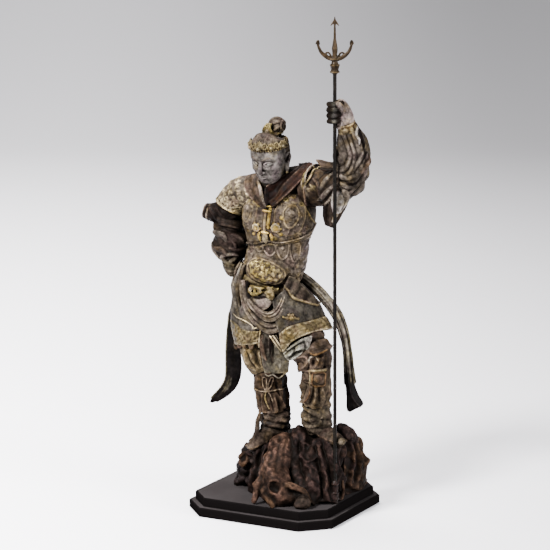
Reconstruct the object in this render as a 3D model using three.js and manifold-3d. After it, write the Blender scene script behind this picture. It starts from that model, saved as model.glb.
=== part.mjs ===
// A guardian king (lokapala) in armour, standing on gnarled rock over a stepped black plinth, with a trident
// in his raised left hand. Millimetres, +Z up, the figure faces -Y, and his left hand is on the +X side.
// The origin is the middle of the plinth's underside.
import * as THREE from "three";
import { mergeVertices } from "three/addons/utils/BufferGeometryUtils.js";
import Module from "manifold-3d";

const wasm = await Module();
wasm.setup();

// Driving dimensions
const FIGURE_HEIGHT = 202; // sole of the right boot to the top of the hair knot
const ROCK_HEIGHT = 27; // plinth's top to the sole of the right boot
const PLINTH_LENGTH = 97;
const PLINTH_DEPTH = 93;
const PLINTH_CORNER = 15.1; // each corner is cut off by this much along both sides
const LOWER_TIER = 5.7;
const UPPER_TIER = 5.3;
const LEDGE = 3.6; // the upper tier is set back by this
const PLINTH_BEVEL = 0.7;
const SHAFT_RADIUS = 1.1;
const SHAFT_INSET = 2.7; // from the upper tier's edge at his left hand to the shaft's axis, at its foot
const SHAFT_FORWARD = 16; // from the plinth's middle to the shaft's axis, at its foot
const ABOVE_GRIP = 55; // middle of the fist to the trident's tip
const TRIDENT_HEAD = 34; // socket to tip
const PRONG_REACH = 10; // shaft's axis to the tip of a side prong
const GRIP_CLEARANCE = 0.35; // round the shaft, inside the fist
const SEAT_GAP = 0.3; // between the boots or the shaft and the rock cut for them

const PLINTH_TOP = LOWER_TIER + UPPER_TIER;
const SOLE_LEVEL = PLINTH_TOP + ROCK_HEIGHT;

// The figure's rows below are shares of its height, in 202nds, so they read as millimetres at the height above.
// Their z is counted from a ground 38 under the right sole, and the rock's rows use the same ground.
const SHARES = 202;
const SOLE_ROW = 38;
const ROCK_FOOT_ROW = 11;
const figureScale = FIGURE_HEIGHT / SHARES;
const rockScale = ROCK_HEIGHT / (SOLE_ROW - ROCK_FOOT_ROW);
const onFigure = new THREE.Matrix4()
  .makeTranslation(0, 0, SOLE_LEVEL)
  .multiply(new THREE.Matrix4().makeScale(figureScale, figureScale, figureScale))
  .multiply(new THREE.Matrix4().makeTranslation(0, 0, -SOLE_ROW));
const onRock = new THREE.Matrix4()
  .makeTranslation(0, 0, PLINTH_TOP)
  .multiply(new THREE.Matrix4().makeScale(figureScale, figureScale, rockScale))
  .multiply(new THREE.Matrix4().makeTranslation(0, 0, -ROCK_FOOT_ROW));

const FRONT = [0, -1, 0];
const UP = [0, 0, 1];
const TAU = 2 * Math.PI;
const rad = THREE.MathUtils.degToRad;
const vec = (p) => new THREE.Vector3(p[0], p[1], p[2]);
const bell = (x, width) => Math.exp(-(x * x) / (width * width));

// A number read off evenly spaced values by a Catmull-Rom curve
function smoothValue(values, t) {
  const last = values.length - 1;
  const s = Math.min(Math.max(t, 0), 1) * last;
  const i = Math.min(Math.floor(s), last - 1);
  const f = s - i;
  const a = values[Math.max(i - 1, 0)];
  const b = values[i];
  const c = values[i + 1];
  const d = values[Math.min(i + 2, last)];
  return 0.5 * (2 * b + (c - a) * f + (2 * a - 5 * b + 4 * c - d) * f * f + (3 * b - a - 3 * c + d) * f ** 3);
}

// Centre, side and front directions and half widths of a swept form at t. Each row is x, y, z, half width to
// the side, half width to the front and, if it rolls, the roll in degrees.
function frameAt(rows, t, front) {
  const column = (k, at) => smoothValue(rows.map((row) => row[k] ?? 0), at);
  const point = (at) => new THREE.Vector3(column(0, at), column(1, at), column(2, at));
  const step = 0.01;
  const along = point(Math.min(t + step, 1)).sub(point(Math.max(t - step, 0))).normalize();
  const ahead = vec(front).addScaledVector(along, -vec(front).dot(along)).normalize();
  ahead.applyAxisAngle(along, rad(column(5, t)));
  const side = new THREE.Vector3().crossVectors(along, ahead);
  return { centre: point(t), along, side, ahead, a: column(3, t), b: column(4, t) };
}

// The closed body swept along rows. A carve function gives millimetres to add at (t, angle), where the angle is 0 on
// the side and 90 degrees in front, and the ends are rounded over the shares of the length in caps.
function sweep(rows, { front = FRONT, sides = 12, rings = 8, carve = null, caps = [0, 0] } = {}) {
  const stops = [];
  for (let i = 0; i <= rings; i++) stops.push(i / rings);
  const eased = stops.map((t) => {
    if (caps[0] && caps[1]) return 0.5 - 0.5 * Math.cos(Math.PI * t);
    if (caps[0]) return 1 - Math.cos((Math.PI / 2) * t);
    return caps[1] ? Math.sin((Math.PI / 2) * t) : t;
  });
  const positions = [];
  for (const t of eased) {
    const f = frameAt(rows, t, front);
    let shrink = 1;
    if (caps[0] && t < caps[0]) shrink = Math.sqrt(Math.max(1 - (1 - t / caps[0]) ** 2, 0.004));
    if (caps[1] && t > 1 - caps[1]) shrink = Math.sqrt(Math.max(1 - (1 - (1 - t) / caps[1]) ** 2, 0.004));
    for (let k = 0; k < sides; k++) {
      const angle = (k / sides) * TAU;
      const raised = carve ? carve(t, angle) : 0;
      const p = f.centre
        .clone()
        .addScaledVector(f.side, Math.cos(angle) * (f.a + raised) * shrink)
        .addScaledVector(f.ahead, Math.sin(angle) * (f.b + raised) * shrink);
      positions.push(p.x, p.y, p.z);
    }
  }
  const index = [];
  for (let i = 0; i < rings; i++)
    for (let k = 0; k < sides; k++) {
      const a = i * sides + k;
      const b = i * sides + ((k + 1) % sides);
      index.push(a, b, a + sides, b, b + sides, a + sides);
    }
  const endCentres = [frameAt(rows, 0, front).centre, frameAt(rows, 1, front).centre];
  endCentres.forEach((centre, end) => {
    const hub = positions.length / 3;
    positions.push(centre.x, centre.y, centre.z);
    const start = end ? rings * sides : 0;
    for (let k = 0; k < sides; k++) {
      const a = start + k;
      const b = start + ((k + 1) % sides);
      index.push(...(end ? [a, b, hub] : [b, a, hub]));
    }
  });
  const geometry = new THREE.BufferGeometry();
  geometry.setAttribute("position", new THREE.Float32BufferAttribute(positions, 3));
  geometry.setIndex(index);
  return geometry;
}

// A round-ended form about a centre with three half sizes
function ball(centre, [x, y, z], sides = 12, rings = 8) {
  return new THREE.SphereGeometry(1, sides, rings).scale(x, y, z).translate(...centre);
}

// A manifold solid of any closed geometry, moved by a matrix and facing out
function solid(geometry, matrix = null) {
  const bare = new THREE.BufferGeometry();
  bare.setAttribute("position", geometry.getAttribute("position").clone());
  if (geometry.index) bare.setIndex(geometry.index.clone());
  if (matrix) bare.applyMatrix4(matrix);
  const merged = mergeVertices(bare, 1e-4);
  const vertProperties = new Float32Array(merged.attributes.position.array);
  const kept = [];
  const faces = merged.index.array;
  for (let i = 0; i < faces.length; i += 3) {
    const [a, b, c] = [faces[i], faces[i + 1], faces[i + 2]];
    if (a !== b && b !== c && a !== c) kept.push(a, b, c);
  }
  const make = (triVerts) => new wasm.Manifold(new wasm.Mesh({ numProp: 3, vertProperties, triVerts }));
  const made = make(new Uint32Array(kept));
  if (made.volume() > 0) return made;
  for (let i = 0; i < kept.length; i += 3) [kept[i + 1], kept[i + 2]] = [kept[i + 2], kept[i + 1]];
  return make(new Uint32Array(kept));
}

const joined = (geometries, matrix) =>
  geometries.map((g) => solid(g, matrix)).reduce((all, one) => all.add(one));

function meshOf(manifold, name, colour, roughness, metalness) {
  const { numProp, vertProperties, triVerts } = manifold.getMesh();
  const positions = new Float32Array((vertProperties.length / numProp) * 3);
  for (let i = 0; i < positions.length / 3; i++)
    positions.set(vertProperties.subarray(i * numProp, i * numProp + 3), i * 3);
  const geometry = new THREE.BufferGeometry();
  geometry.setAttribute("position", new THREE.BufferAttribute(positions, 3));
  geometry.setIndex(new THREE.BufferAttribute(triVerts, 1));
  geometry.computeVertexNormals();
  const mesh = new THREE.Mesh(geometry, new THREE.MeshStandardMaterial({ color: colour, roughness, metalness }));
  mesh.name = name;
  return mesh;
}

// Plinth: two octagonal tiers, each with a small bevel on its top edge
function octagon(length, depth, corner) {
  const [x, y] = [length / 2, depth / 2];
  const half = [
    [x, y - corner],
    [x - corner, y],
    [corner - x, y],
    [-x, y - corner],
  ];
  return new THREE.Shape([...half, ...half.map(([u, v]) => [-u, -v])].map(([u, v]) => new THREE.Vector2(u, v)));
}

const CORNER_SHRINK = 2 - Math.SQRT2; // a corner cut loses this share of an inset

function tierOutline(inset) {
  return octagon(PLINTH_LENGTH - 2 * inset, PLINTH_DEPTH - 2 * inset, PLINTH_CORNER - inset * CORNER_SHRINK);
}

function tier(inset, bottom, height) {
  return new THREE.ExtrudeGeometry(tierOutline(inset + PLINTH_BEVEL), {
    depth: height - 2 * PLINTH_BEVEL,
    bevelThickness: PLINTH_BEVEL,
    bevelSize: PLINTH_BEVEL,
    bevelSegments: 1,
  }).translate(0, 0, bottom + PLINTH_BEVEL);
}

const plinth = solid(tier(0, 0, LOWER_TIER)).add(solid(tier(LEDGE, LOWER_TIER - PLINTH_BEVEL, UPPER_TIER + PLINTH_BEVEL)));

// Torso: the armoured body from hips to neck, with its ornaments set on the surface
const TORSO = [
  [-12, -1.5, 126, 18, 15.5],
  [-9.5, -1, 138, 17.5, 15.8],
  [-7.5, -1, 145, 18.5, 16.5],
  [-5.5, -0.5, 152, 18.2, 16],
  [-4, 0, 158, 17.8, 15.2],
  [-4.5, 0, 164, 19.4, 16],
  [-4.5, 0, 170, 21, 17],
  [-4, 0, 176, 22.2, 17.8],
  [-3.5, 1, 183, 22.2, 17.5],
  [-3.5, 1, 190, 20, 15],
  [-4.5, 0, 197, 14.5, 11.5],
];
const LEFT_BREAST = [50, 181];
const RIGHT_BREAST = [127, 179.5];

function torsoCarve(t, angle) {
  const z = smoothValue(TORSO.map((row) => row[2]), t);
  const turn = (angle * 180) / Math.PI;
  const breast = ([at, level]) => bell(turn - at, 24) * bell(z - level, 8) * 1.8;
  return breast(LEFT_BREAST) + breast(RIGHT_BREAST) + bell(turn - 82, 36) * bell(z - 147, 7) * 1.2;
}

// A point on the torso at an angle in degrees and a height row, lifted off the surface by h
function onTorso(degrees, z, h = 0) {
  let [low, high] = [0, 1];
  for (let i = 0; i < 24; i++) {
    const middle = (low + high) / 2;
    if (smoothValue(TORSO.map((row) => row[2]), middle) < z) low = middle;
    else high = middle;
  }
  const f = frameAt(TORSO, low, FRONT);
  const angle = rad(degrees);
  const raised = torsoCarve(low, angle) + h;
  return new THREE.Vector3(
    f.centre.x + Math.cos(angle) * (f.a + raised),
    f.centre.y - Math.sin(angle) * (f.b + raised),
    z,
  );
}

// A raised cord or rim that follows points [degrees, z] over the torso
function trim(points, radius, { sides = 3, rings = 7, lift = 0 } = {}) {
  const rows = points.map(([degrees, z]) => [...onTorso(degrees, z, lift), radius, radius]);
  return sweep(rows, { front: [0.3, -0.9, 0.3], sides, rings });
}

function ovalTrim([degrees, z], spread, height, radius, from = 0, to = 360, count = 8) {
  const points = [];
  for (let i = 0; i <= count; i++) {
    const a = rad(from + ((to - from) * i) / count);
    points.push([degrees + spread * Math.cos(a), z + height * Math.sin(a)]);
  }
  return trim(points, radius, { rings: count });
}

// A low round boss on the torso
function boss(degrees, z, radius, rise) {
  const p = onTorso(degrees, z);
  const out = rad(degrees);
  return ball([0, 0, 0], [radius, rise, radius], 7, 4)
    .rotateZ(Math.PI / 2 - out)
    .translate(p.x, p.y, p.z);
}

function torso() {
  const pieces = [sweep(TORSO, { sides: 14, rings: 9, carve: torsoCarve })];
  pieces.push(ovalTrim(LEFT_BREAST, 12, 5.2, 1), ovalTrim(RIGHT_BREAST, 14, 5.2, 1));
  pieces.push(ovalTrim(LEFT_BREAST, 24, 10.5, 1, 170, 380, 7), ovalTrim(RIGHT_BREAST, 20, 9, 1, 160, 370, 7));
  pieces.push(trim([[93, 190], [90, 184], [86, 176], [86, 167]], 1.6, { rings: 4 }));
  for (const [degrees, z] of [[72, 174], [100, 173.5]]) pieces.push(boss(degrees, z, 2.3, 1.6));
  pieces.push(trim([[-16, 176], [6, 170.5], [25, 166.5], [64, 163.5], [86, 165], [110, 163.5], [150, 163]], 1.3));
  pieces.push(boss(81, 146.5, 11, 3.2));
  return pieces;
}

// Belt, lion-mask buckle, apron tongue and the swags of the sash that hang in deep U folds from hip to hip
const HIPS = { x: -9, y: -1, a: 22, b: 18.5 };

function onHips(x, z, lift) {
  const across = Math.min(Math.abs(x - HIPS.x) / HIPS.a, 0.97);
  return [x, HIPS.y - (HIPS.b + lift) * Math.sqrt(1 - across * across), z];
}

function swag(left, right, top, drop, radius) {
  const rows = [];
  const middle = (left + right) / 2;
  const half = (right - left) / 2;
  for (let i = 0; i <= 8; i++) {
    const a = (i / 8) * Math.PI;
    const x = middle - half * Math.cos(a);
    const z = top - drop * Math.sin(a) - 0.16 * (x - middle);
    rows.push([...onHips(x, z, 0.6 * radius), radius, 1.2 * radius]);
  }
  rows.unshift([left + 5, -3, top + 9, radius, radius]);
  rows.push([right - 3, -6, top + 8, radius, radius]);
  return sweep(rows, { front: [0.2, -0.9, -0.4], sides: 5, rings: 10 });
}

function beltAndSash() {
  const mask = onTorso(84, 134.5, 1.5);
  const knot = onTorso(60, 133, 1.5);
  const tongue = onTorso(74, 127.5, 1);
  return [
    ball([mask.x, mask.y, mask.z], [6, 3.2, 3.6], 8, 5),
    ball([knot.x, knot.y, knot.z - 1], [2.4, 2.6, 3.8], 6, 4),
    ball([tongue.x, tongue.y + 0.5, tongue.z + 1], [7.4, 3, 6.2], 9, 5),
    swag(-29, 11.5, 138, 25.5, 2.6),
    swag(-25, 9, 138.5, 20.5, 2.4),
    swag(-20, 7, 139, 15.5, 2.3),
  ];
}

// Armour skirts over both thighs with a raised border at the hem, and the cloth that hangs between them
const border = (depth) => (t) => (t > 0.68 ? depth : 0) + (t > 0.94 ? 0.5 : 0);

function skirts() {
  const right = [
    [-13, -1.5, 137, 17, 15],
    [-14.5, -2, 125, 18, 16.5],
    [-14.5, -2.5, 113, 18, 17],
    [-12.5, -3, 102, 16.6, 17.2],
  ];
  const left = [
    [-2, -0.5, 137, 14, 13.5],
    [4, -1.5, 128, 17, 15.5],
    [10.5, -4, 118.5, 18.5, 17],
    [18.5, -7, 110.5, 19, 17.5],
  ];
  const cloth = [
    [-4, -14, 116, 4, 3],
    [0, -16.5, 104, 7, 3],
    [1.5, -16, 94, 8.5, 2.6],
    [3.5, -14, 86, 8, 1.8],
  ];
  return [
    sweep(right, { sides: 14, rings: 6, carve: border(0.8) }),
    sweep(left, { sides: 14, rings: 6, carve: border(0.8) }),
    sweep(cloth, { sides: 10, rings: 4, carve: (t, angle) => 0.8 * t * Math.cos(5 * angle) }),
  ];
}

// Full trousers tied under the knees, and gaiters whose pleated edges flare over the boots
const pleats = (count, depth) => (t, angle) => depth * (Math.cos(count * angle) * t * t + bell(t - 0.25, 0.2));

function legs() {
  const puffed = (t, angle) => 0.7 * Math.cos(5 * angle + 5 * t) * Math.sin(Math.PI * t);
  const thighRight = [
    [-16, -2.5, 116, 12, 13],
    [-15.5, -3.5, 106, 12.5, 13],
    [-14.5, -4.5, 98, 11.5, 12.5],
    [-12, -5, 91.5, 12, 12.5],
    [-9, -5, 84.5, 9.2, 10],
  ];
  const thighLeft = [
    [5, -2.5, 118, 13, 14],
    [15, -5, 113, 14, 14.5],
    [21, -8, 106, 14.5, 14.5],
    [24, -8.8, 97, 13, 13.5],
    [25.4, -8.5, 89.5, 9.6, 10.5],
  ];
  const gaiterRight = [
    [-8, -4.5, 86.5, 8.8, 9.4],
    [-8, -4.5, 81, 9.9, 9.9],
    [-7.3, -4, 73, 9.5, 9.5],
    [-6, -3.5, 66, 9, 9],
    [-5.8, -3, 60, 9.6, 9.6],
  ];
  const gaiterLeft = [
    [25.5, -8, 91, 9.4, 10],
    [25.6, -7.5, 85.5, 9.6, 10],
    [25, -7, 79.5, 9.6, 10],
    [24, -6, 74, 9.4, 10],
    [22.4, -5, 69, 9.4, 9.8],
  ];
  return [
    sweep(thighRight, { sides: 11, rings: 5, carve: puffed }),
    sweep(thighLeft, { sides: 11, rings: 5, carve: puffed }),
    sweep(gaiterRight, { sides: 14, rings: 4, carve: pleats(7, 1) }),
    sweep(gaiterLeft, { sides: 14, rings: 4, carve: pleats(7, 1) }),
  ];
}

// Each boot is a creased ankle and a foot. Grown by a gap, the same forms cut their seat in the rock.
function boots(grow = 0) {
  const widen = (rows) => rows.map(([x, y, z, a, b]) => [x, y, z, a + grow, b + grow]);
  const ankleRight = [
    [-5, -3, 61, 8, 8.2],
    [-4.6, -2.8, 54.5, 8.8, 8.8],
    [-5.4, -2.5, 48.5, 8.2, 8.6],
    [-6.2, -2.5, 43, 7.6, 8.8],
  ];
  const footRight = [
    [-6.4, 6.5, 43, 5, 4.6],
    [-7, -2, 43.5, 6.4, 5.6],
    [-8, -11, 43.3, 6, 5.2],
    [-9.4, -19, 41.6, 5, 3.8],
    [-10.4, -25.5, 40, 2.8, 2.1],
  ];
  const ankleLeft = [
    [23.4, -5, 71, 7.8, 8.2],
    [23.7, -4.4, 64, 7.8, 8.2],
    [23.5, -4, 58, 9, 9],
    [25, -3.4, 50, 7.4, 8],
  ];
  const footLeft = [
    [15, 3, 48.5, 4.2, 4],
    [24, -2, 49.5, 5.8, 5.2],
    [33, -6.6, 49, 5.6, 4.8],
    [40.4, -10.2, 48, 4.6, 3.7],
    [45.5, -12.8, 47, 2.6, 2.2],
  ];
  const grown = (rows, options) => sweep(widen(rows), options);
  return [
    grown(ankleRight, { sides: 10, rings: 4, carve: (t) => 0.5 * Math.cos(14 * t) }),
    grown(footRight, { front: UP, sides: 8, rings: 6, caps: [0.18, 0.2] }),
    grown(ankleLeft, { sides: 10, rings: 4, carve: (t) => 0.5 * Math.cos(14 * t) }),
    grown(footLeft, { front: UP, sides: 8, rings: 6, caps: [0.18, 0.2] }),
  ];
}

// Sleeves: the right arm is set on the hip, the left is raised to the trident
const creased = (t, angle) => 0.9 * Math.cos(4 * angle + 9 * t) * Math.sin(Math.PI * t);

function rightArm() {
  const guard = [
    [-16, 1, 190.5, 10.5, 11],
    [-25, -0.5, 189.5, 11, 11.5],
    [-32, -1.5, 185.5, 10, 10.5],
    [-35.6, -1.5, 178.5, 9.2, 9.8],
  ];
  const sleeve = [
    [-33, -0.5, 184, 9, 9.5],
    [-36.5, -0.5, 178, 8, 9],
    [-42, -1.5, 176, 6.8, 6.6],
    [-48, -2.2, 174.6, 6, 5.6],
    [-54, -3, 176, 3.4, 3.6],
  ];
  const forearm = [
    [-37, 0.5, 177, 7.5, 8.8],
    [-37, 0, 170, 9, 9.4],
    [-36, -1.2, 164, 10, 9.6],
    [-34.6, -3, 158.5, 11.4, 10.2],
    [-33.8, -5, 153.5, 9.6, 9],
    [-32.6, -7.5, 149, 6, 6.2],
  ];
  return [
    sweep(guard, { sides: 12, rings: 5, carve: (t) => (t > 0.9 ? 0.8 : 0) }),
    sweep(sleeve, { sides: 9, rings: 5, carve: (t, angle) => 0.5 * t * Math.cos(3 * angle) }),
    sweep(forearm, { sides: 10, rings: 6, carve: (t, angle) => 0.7 * Math.cos(3 * angle + 16 * t) }),
  ];
}

function leftArm() {
  const guard = [
    [8, 2, 194, 11, 12],
    [15, 2, 197, 11.5, 12],
    [22, 1.5, 198, 11.5, 12],
  ];
  const upper = [
    [14, 2, 196, 11, 11.5],
    [23, 1.2, 197, 11, 11.5],
    [32, -0.5, 198.5, 10.6, 11],
    [40, -1.6, 200.5, 9.4, 10.4],
    [45, -1.8, 203, 7.6, 8.6],
  ];
  const forearm = [
    [41, -1, 197, 7.4, 9],
    [43.8, -1.5, 203, 9, 10],
    [45.4, -2.6, 210.5, 10, 10.2],
    [46.8, -4.5, 218, 10.1, 10.2],
    [47.6, -7, 225, 9, 9.2],
    [47, -9, 230.5, 7, 7.4],
    [46.5, -10.5, 235.5, 5.2, 5.8],
  ];
  const hanging = [
    [35.5, -2, 193, 7.6, 7],
    [35.3, -3, 187.5, 6.4, 5.6],
    [34.4, -4, 182.5, 4.2, 4.2],
    [33.8, -4.6, 178, 2.9, 3],
    [33, -5, 174.8, 1.6, 1.8],
  ];
  const flip = [
    [36, -2, 211, 2.4, 3],
    [29, -1.4, 212.6, 2, 2.8],
    [21.5, 0, 212.8, 0.9, 1.4],
  ];
  return [
    sweep(guard, { sides: 11, rings: 3, carve: (t) => (t > 0.85 ? 0.7 : 0) }),
    sweep(upper, { sides: 10, rings: 5, carve: creased }),
    sweep(forearm, { sides: 11, rings: 8, carve: (t, angle) => 0.8 * Math.cos(3 * angle + 13 * t) }),
    sweep(hanging, { sides: 7, rings: 4 }),
    sweep(flip, { front: UP, sides: 6, rings: 3 }),
  ];
}

// The left fist is built around the trident's axis
const GRIP = [40.8, -15.6, 245];
const QUARTER = 28; // the fist and the prongs face this many degrees to his left of straight ahead

function leftHand() {
  const outward = [Math.cos(rad(QUARTER)), Math.sin(rad(QUARTER))];
  const forward = [outward[1], -outward[0]];
  const round = (degrees, radius, z) => [
    GRIP[0] + radius * (Math.cos(rad(degrees)) * outward[0] + Math.sin(rad(degrees)) * forward[0]),
    GRIP[1] + radius * (Math.cos(rad(degrees)) * outward[1] + Math.sin(rad(degrees)) * forward[1]),
    z,
  ];
  const pieces = [];
  for (let finger = 0; finger < 4; finger++) {
    const z = GRIP[2] + 4.6 - finger * 3.3;
    const thick = finger === 3 ? 1.6 : 1.9;
    const rows = [];
    for (let i = 0; i <= 5; i++) rows.push([...round(20 + i * 44, 3.1, z - i * 0.1), thick, thick]);
    pieces.push(sweep(rows, { front: UP, sides: 5, rings: 6, caps: [0.1, 0.1] }));
  }
  const palm = [
    [...round(-40, 1.6, GRIP[2] + 6.2), 2.4, 2],
    [...round(-30, 3, GRIP[2] + 2), 3.8, 3.2],
    [...round(-20, 4.6, GRIP[2] - 4), 4.6, 4.2],
    [...round(-14, 5.8, GRIP[2] - 10), 4.6, 4.6],
  ];
  const thumb = [
    [...round(0, 5, GRIP[2] - 1), 2, 2],
    [...round(40, 4.4, GRIP[2] + 2.6), 1.9, 1.9],
    [...round(80, 4, GRIP[2] + 5), 1.6, 1.6],
  ];
  pieces.push(sweep(palm, { front: [...forward, 0], sides: 8, rings: 5, caps: [0.2, 0] }));
  pieces.push(sweep(thumb, { front: UP, sides: 5, rings: 3, caps: [0, 0.25] }));
  return pieces;
}

function rightHand() {
  const fist = [
    [-32.6, -7, 151, 5, 5],
    [-32, -8.6, 148, 5.4, 5.4],
    [-31.5, -9.6, 145.5, 5, 4.8],
    [-31.2, -10.4, 143.2, 3, 2.6],
  ];
  return [sweep(fist, { sides: 12, rings: 4, carve: (t, angle) => 0.4 * Math.cos(6 * angle), caps: [0, 0.3] })];
}

// Head, modelled upright about its own middle and then set on the neck, bowed a little
const HEAD_SPOT = [-4.6, -10, 213];
const HEAD_BOW = 13;
const onNeck = new THREE.Matrix4()
  .makeTranslation(...HEAD_SPOT)
  .multiply(new THREE.Matrix4().makeRotationX(rad(HEAD_BOW)));

function head() {
  const skull = [
    [0, -6.5, -13.4, 2.6, 2.2],
    [0, -4.6, -11, 6.2, 6.4],
    [0, -2, -6, 9, 9.8],
    [0, -0.8, 0, 10.2, 11.4],
    [0, 0, 6, 10.6, 12],
    [0, 0.5, 11, 8.8, 10],
    [0, 1, 14.2, 3, 4],
  ];
  const face = (t, angle) => {
    const z = -13.4 + 27.6 * t;
    const turn = (angle * 180) / Math.PI - 90;
    const socket = bell(Math.abs(turn) - 22, 12) * bell(z - 1.5, 2.2);
    const brow = bell(Math.abs(turn) - 20, 20) * bell(z - 4.6, 1.8);
    const cheek = bell(Math.abs(turn) - 34, 15) * bell(z + 3.4, 2.8);
    const chin = bell(turn, 16) * bell(z + 11.5, 2);
    return brow * 0.9 - socket * 1.2 + cheek * 0.8 + chin * 0.6;
  };
  const nose = [
    [0, -11, 3.6, 1, 1],
    [0, -12.6, 0.4, 1.3, 1.3],
    [0, -13.6, -2.2, 2, 1.8],
    [0, -12, -3.8, 1.8, 1.2],
  ];
  const lips = [
    [-3, -9.2, -6.4, 0.6, 0.9],
    [0, -10.4, -6.6, 1.2, 1.4],
    [3, -9.2, -6.4, 0.6, 0.9],
  ];
  const band = [];
  for (let i = 0; i <= 12; i++) {
    const a = (i / 12) * TAU;
    band.push([11.3 * Math.cos(a), -12.7 * Math.sin(a), 6.4 + 0.8 * Math.sin(a), 1, 1.9]);
  }
  const ear = (side) => [
    [side * 10.2, 1, 4, 0.9, 1.6],
    [side * 11, 2, 1.5, 1.1, 2.2],
    [side * 10.6, 1.6, -2, 1, 1.9],
    [side * 10, 0.8, -6, 1, 1.3],
  ];
  return [
    sweep(skull, { sides: 14, rings: 10, carve: face, caps: [0.06, 0.1] }),
    sweep(nose, { sides: 5, rings: 4, caps: [0.1, 0.1] }),
    sweep(lips, { sides: 4, rings: 2 }),
    sweep(band, { front: UP, sides: 4, rings: 12 }),
    sweep(ear(-1), { sides: 5, rings: 4, caps: [0.2, 0.15] }),
    sweep(ear(1), { sides: 5, rings: 4, caps: [0.2, 0.15] }),
    ball([0, -12.6, 8.4], [3, 1.6, 3.4], 7, 4),
    ball([1.6, 9.5, 17.4], [5.3, 5.3, 5.3], 10, 7),
    ball([1, 6, 13.6], [3.4, 3.4, 2], 7, 4),
  ];
}

// Neck and the folded scarf that lies over both shoulders and meets on the breast
function neckAndScarf() {
  const neck = [
    [-4.5, 0, 192, 9, 9],
    [-4.8, -4, 200, 8, 8.4],
    [-4.8, -7, 206, 7.6, 8.2],
  ];
  const yoke = [
    [-26, 0, 190.5, 9, 9],
    [-17, 0.5, 192.5, 9.5, 10],
    [-4, 1, 196, 9.5, 11],
    [9, 2, 200.5, 9, 10],
    [19, 2, 202, 7.6, 9],
  ];
  const lapel = (points) => {
    const rows = points.map(([degrees, z, lift, width]) => [...onTorso(degrees, z, lift), width, 1.8]);
    return sweep(rows, { sides: 6, rings: 4 });
  };
  return [
    sweep(neck, { sides: 10, rings: 2 }),
    sweep(yoke, { sides: 10, rings: 5 }),
    lapel([[76, 186.5, 0, 2.4], [60, 190.5, 1, 4.2], [40, 195, 2, 5.4], [8, 199, 2, 5]]),
    lapel([[98, 186.5, 0, 1.8], [106, 190.5, 0.6, 2.6], [118, 195, 1, 3.4], [140, 198, 1, 4]]),
    boss(80, 187, 1.7, 1.7),
  ];
}

// Two long ends of the sash that stream from the back of the hips
function streamers() {
  const right = [
    [-30, 4, 132, 3, 1.5],
    [-36.5, 4.5, 117, 3, 1.2],
    [-38, 4.5, 107, 3.2, 1.1],
    [-38.5, 4.5, 97.5, 3.8, 1],
    [-37.6, 3.8, 89, 4.5, 1],
    [-36.7, 2.6, 81, 4.8, 1],
    [-37.2, 1, 73, 4.4, 1],
    [-41, -1.5, 66.5, 3.5, 1],
    [-48.5, -5.5, 59.5, 1.8, 1],
  ];
  const left = [
    [1.5, 9, 142.5, 3.2, 1.8],
    [12, 9.5, 136.5, 3.3, 1.5],
    [22.4, 9.5, 128, 3.3, 1.3],
    [30.2, 9.5, 119, 3.2, 1.1],
    [34.8, 9.5, 108.5, 2.9, 1],
    [36.9, 9.8, 98, 2.5, 1],
    [37.8, 10, 88, 2.9, 1],
    [38.8, 10, 78, 3.6, 1.3],
    [41, 9.5, 68, 5, 1.8],
    [40, 9.3, 63.5, 3.6, 1.6],
  ];
  return [
    sweep(right, { front: [0.47, -0.88, 0], sides: 6, rings: 10 }),
    sweep(left, { front: [0.47, -0.88, 0], sides: 6, rings: 12 }),
  ];
}

// The shaft stands on the upper tier and leans to the fist
const gripPoint = vec(GRIP).applyMatrix4(onFigure);
const shaftFoot = new THREE.Vector3(PLINTH_LENGTH / 2 - LEDGE - SHAFT_INSET, -SHAFT_FORWARD, PLINTH_TOP);
const shaftLean = gripPoint.clone().sub(shaftFoot).divideScalar(gripPoint.z - PLINTH_TOP);
const tridentLength = gripPoint.z - PLINTH_TOP + ABOVE_GRIP;

// A form built along +Z from the shaft's foot, leaned to the shaft's axis
function leaned(geometry) {
  const shear = new THREE.Matrix4().set(1, 0, shaftLean.x, 0, 0, 1, shaftLean.y, 0, 0, 0, 1, 0, 0, 0, 0, 1);
  return geometry.applyMatrix4(shear).translate(shaftFoot.x, shaftFoot.y, shaftFoot.z);
}

// Trident: butt cap, shaft, socket, a long barbed middle prong and two curved side prongs
const BUTT_SWELL = 1.9; // the butt cap's widest part, in shaft radii

function barb(width, length) {
  const shape = new THREE.Shape([
    new THREE.Vector2(0, length),
    new THREE.Vector2(-width, 0),
    new THREE.Vector2(0, length * 0.3),
    new THREE.Vector2(width, 0),
  ]);
  return new THREE.ExtrudeGeometry(shape, { depth: 1.2, bevelEnabled: false })
    .translate(0, 0, -0.6)
    .rotateX(Math.PI / 2);
}

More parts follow.
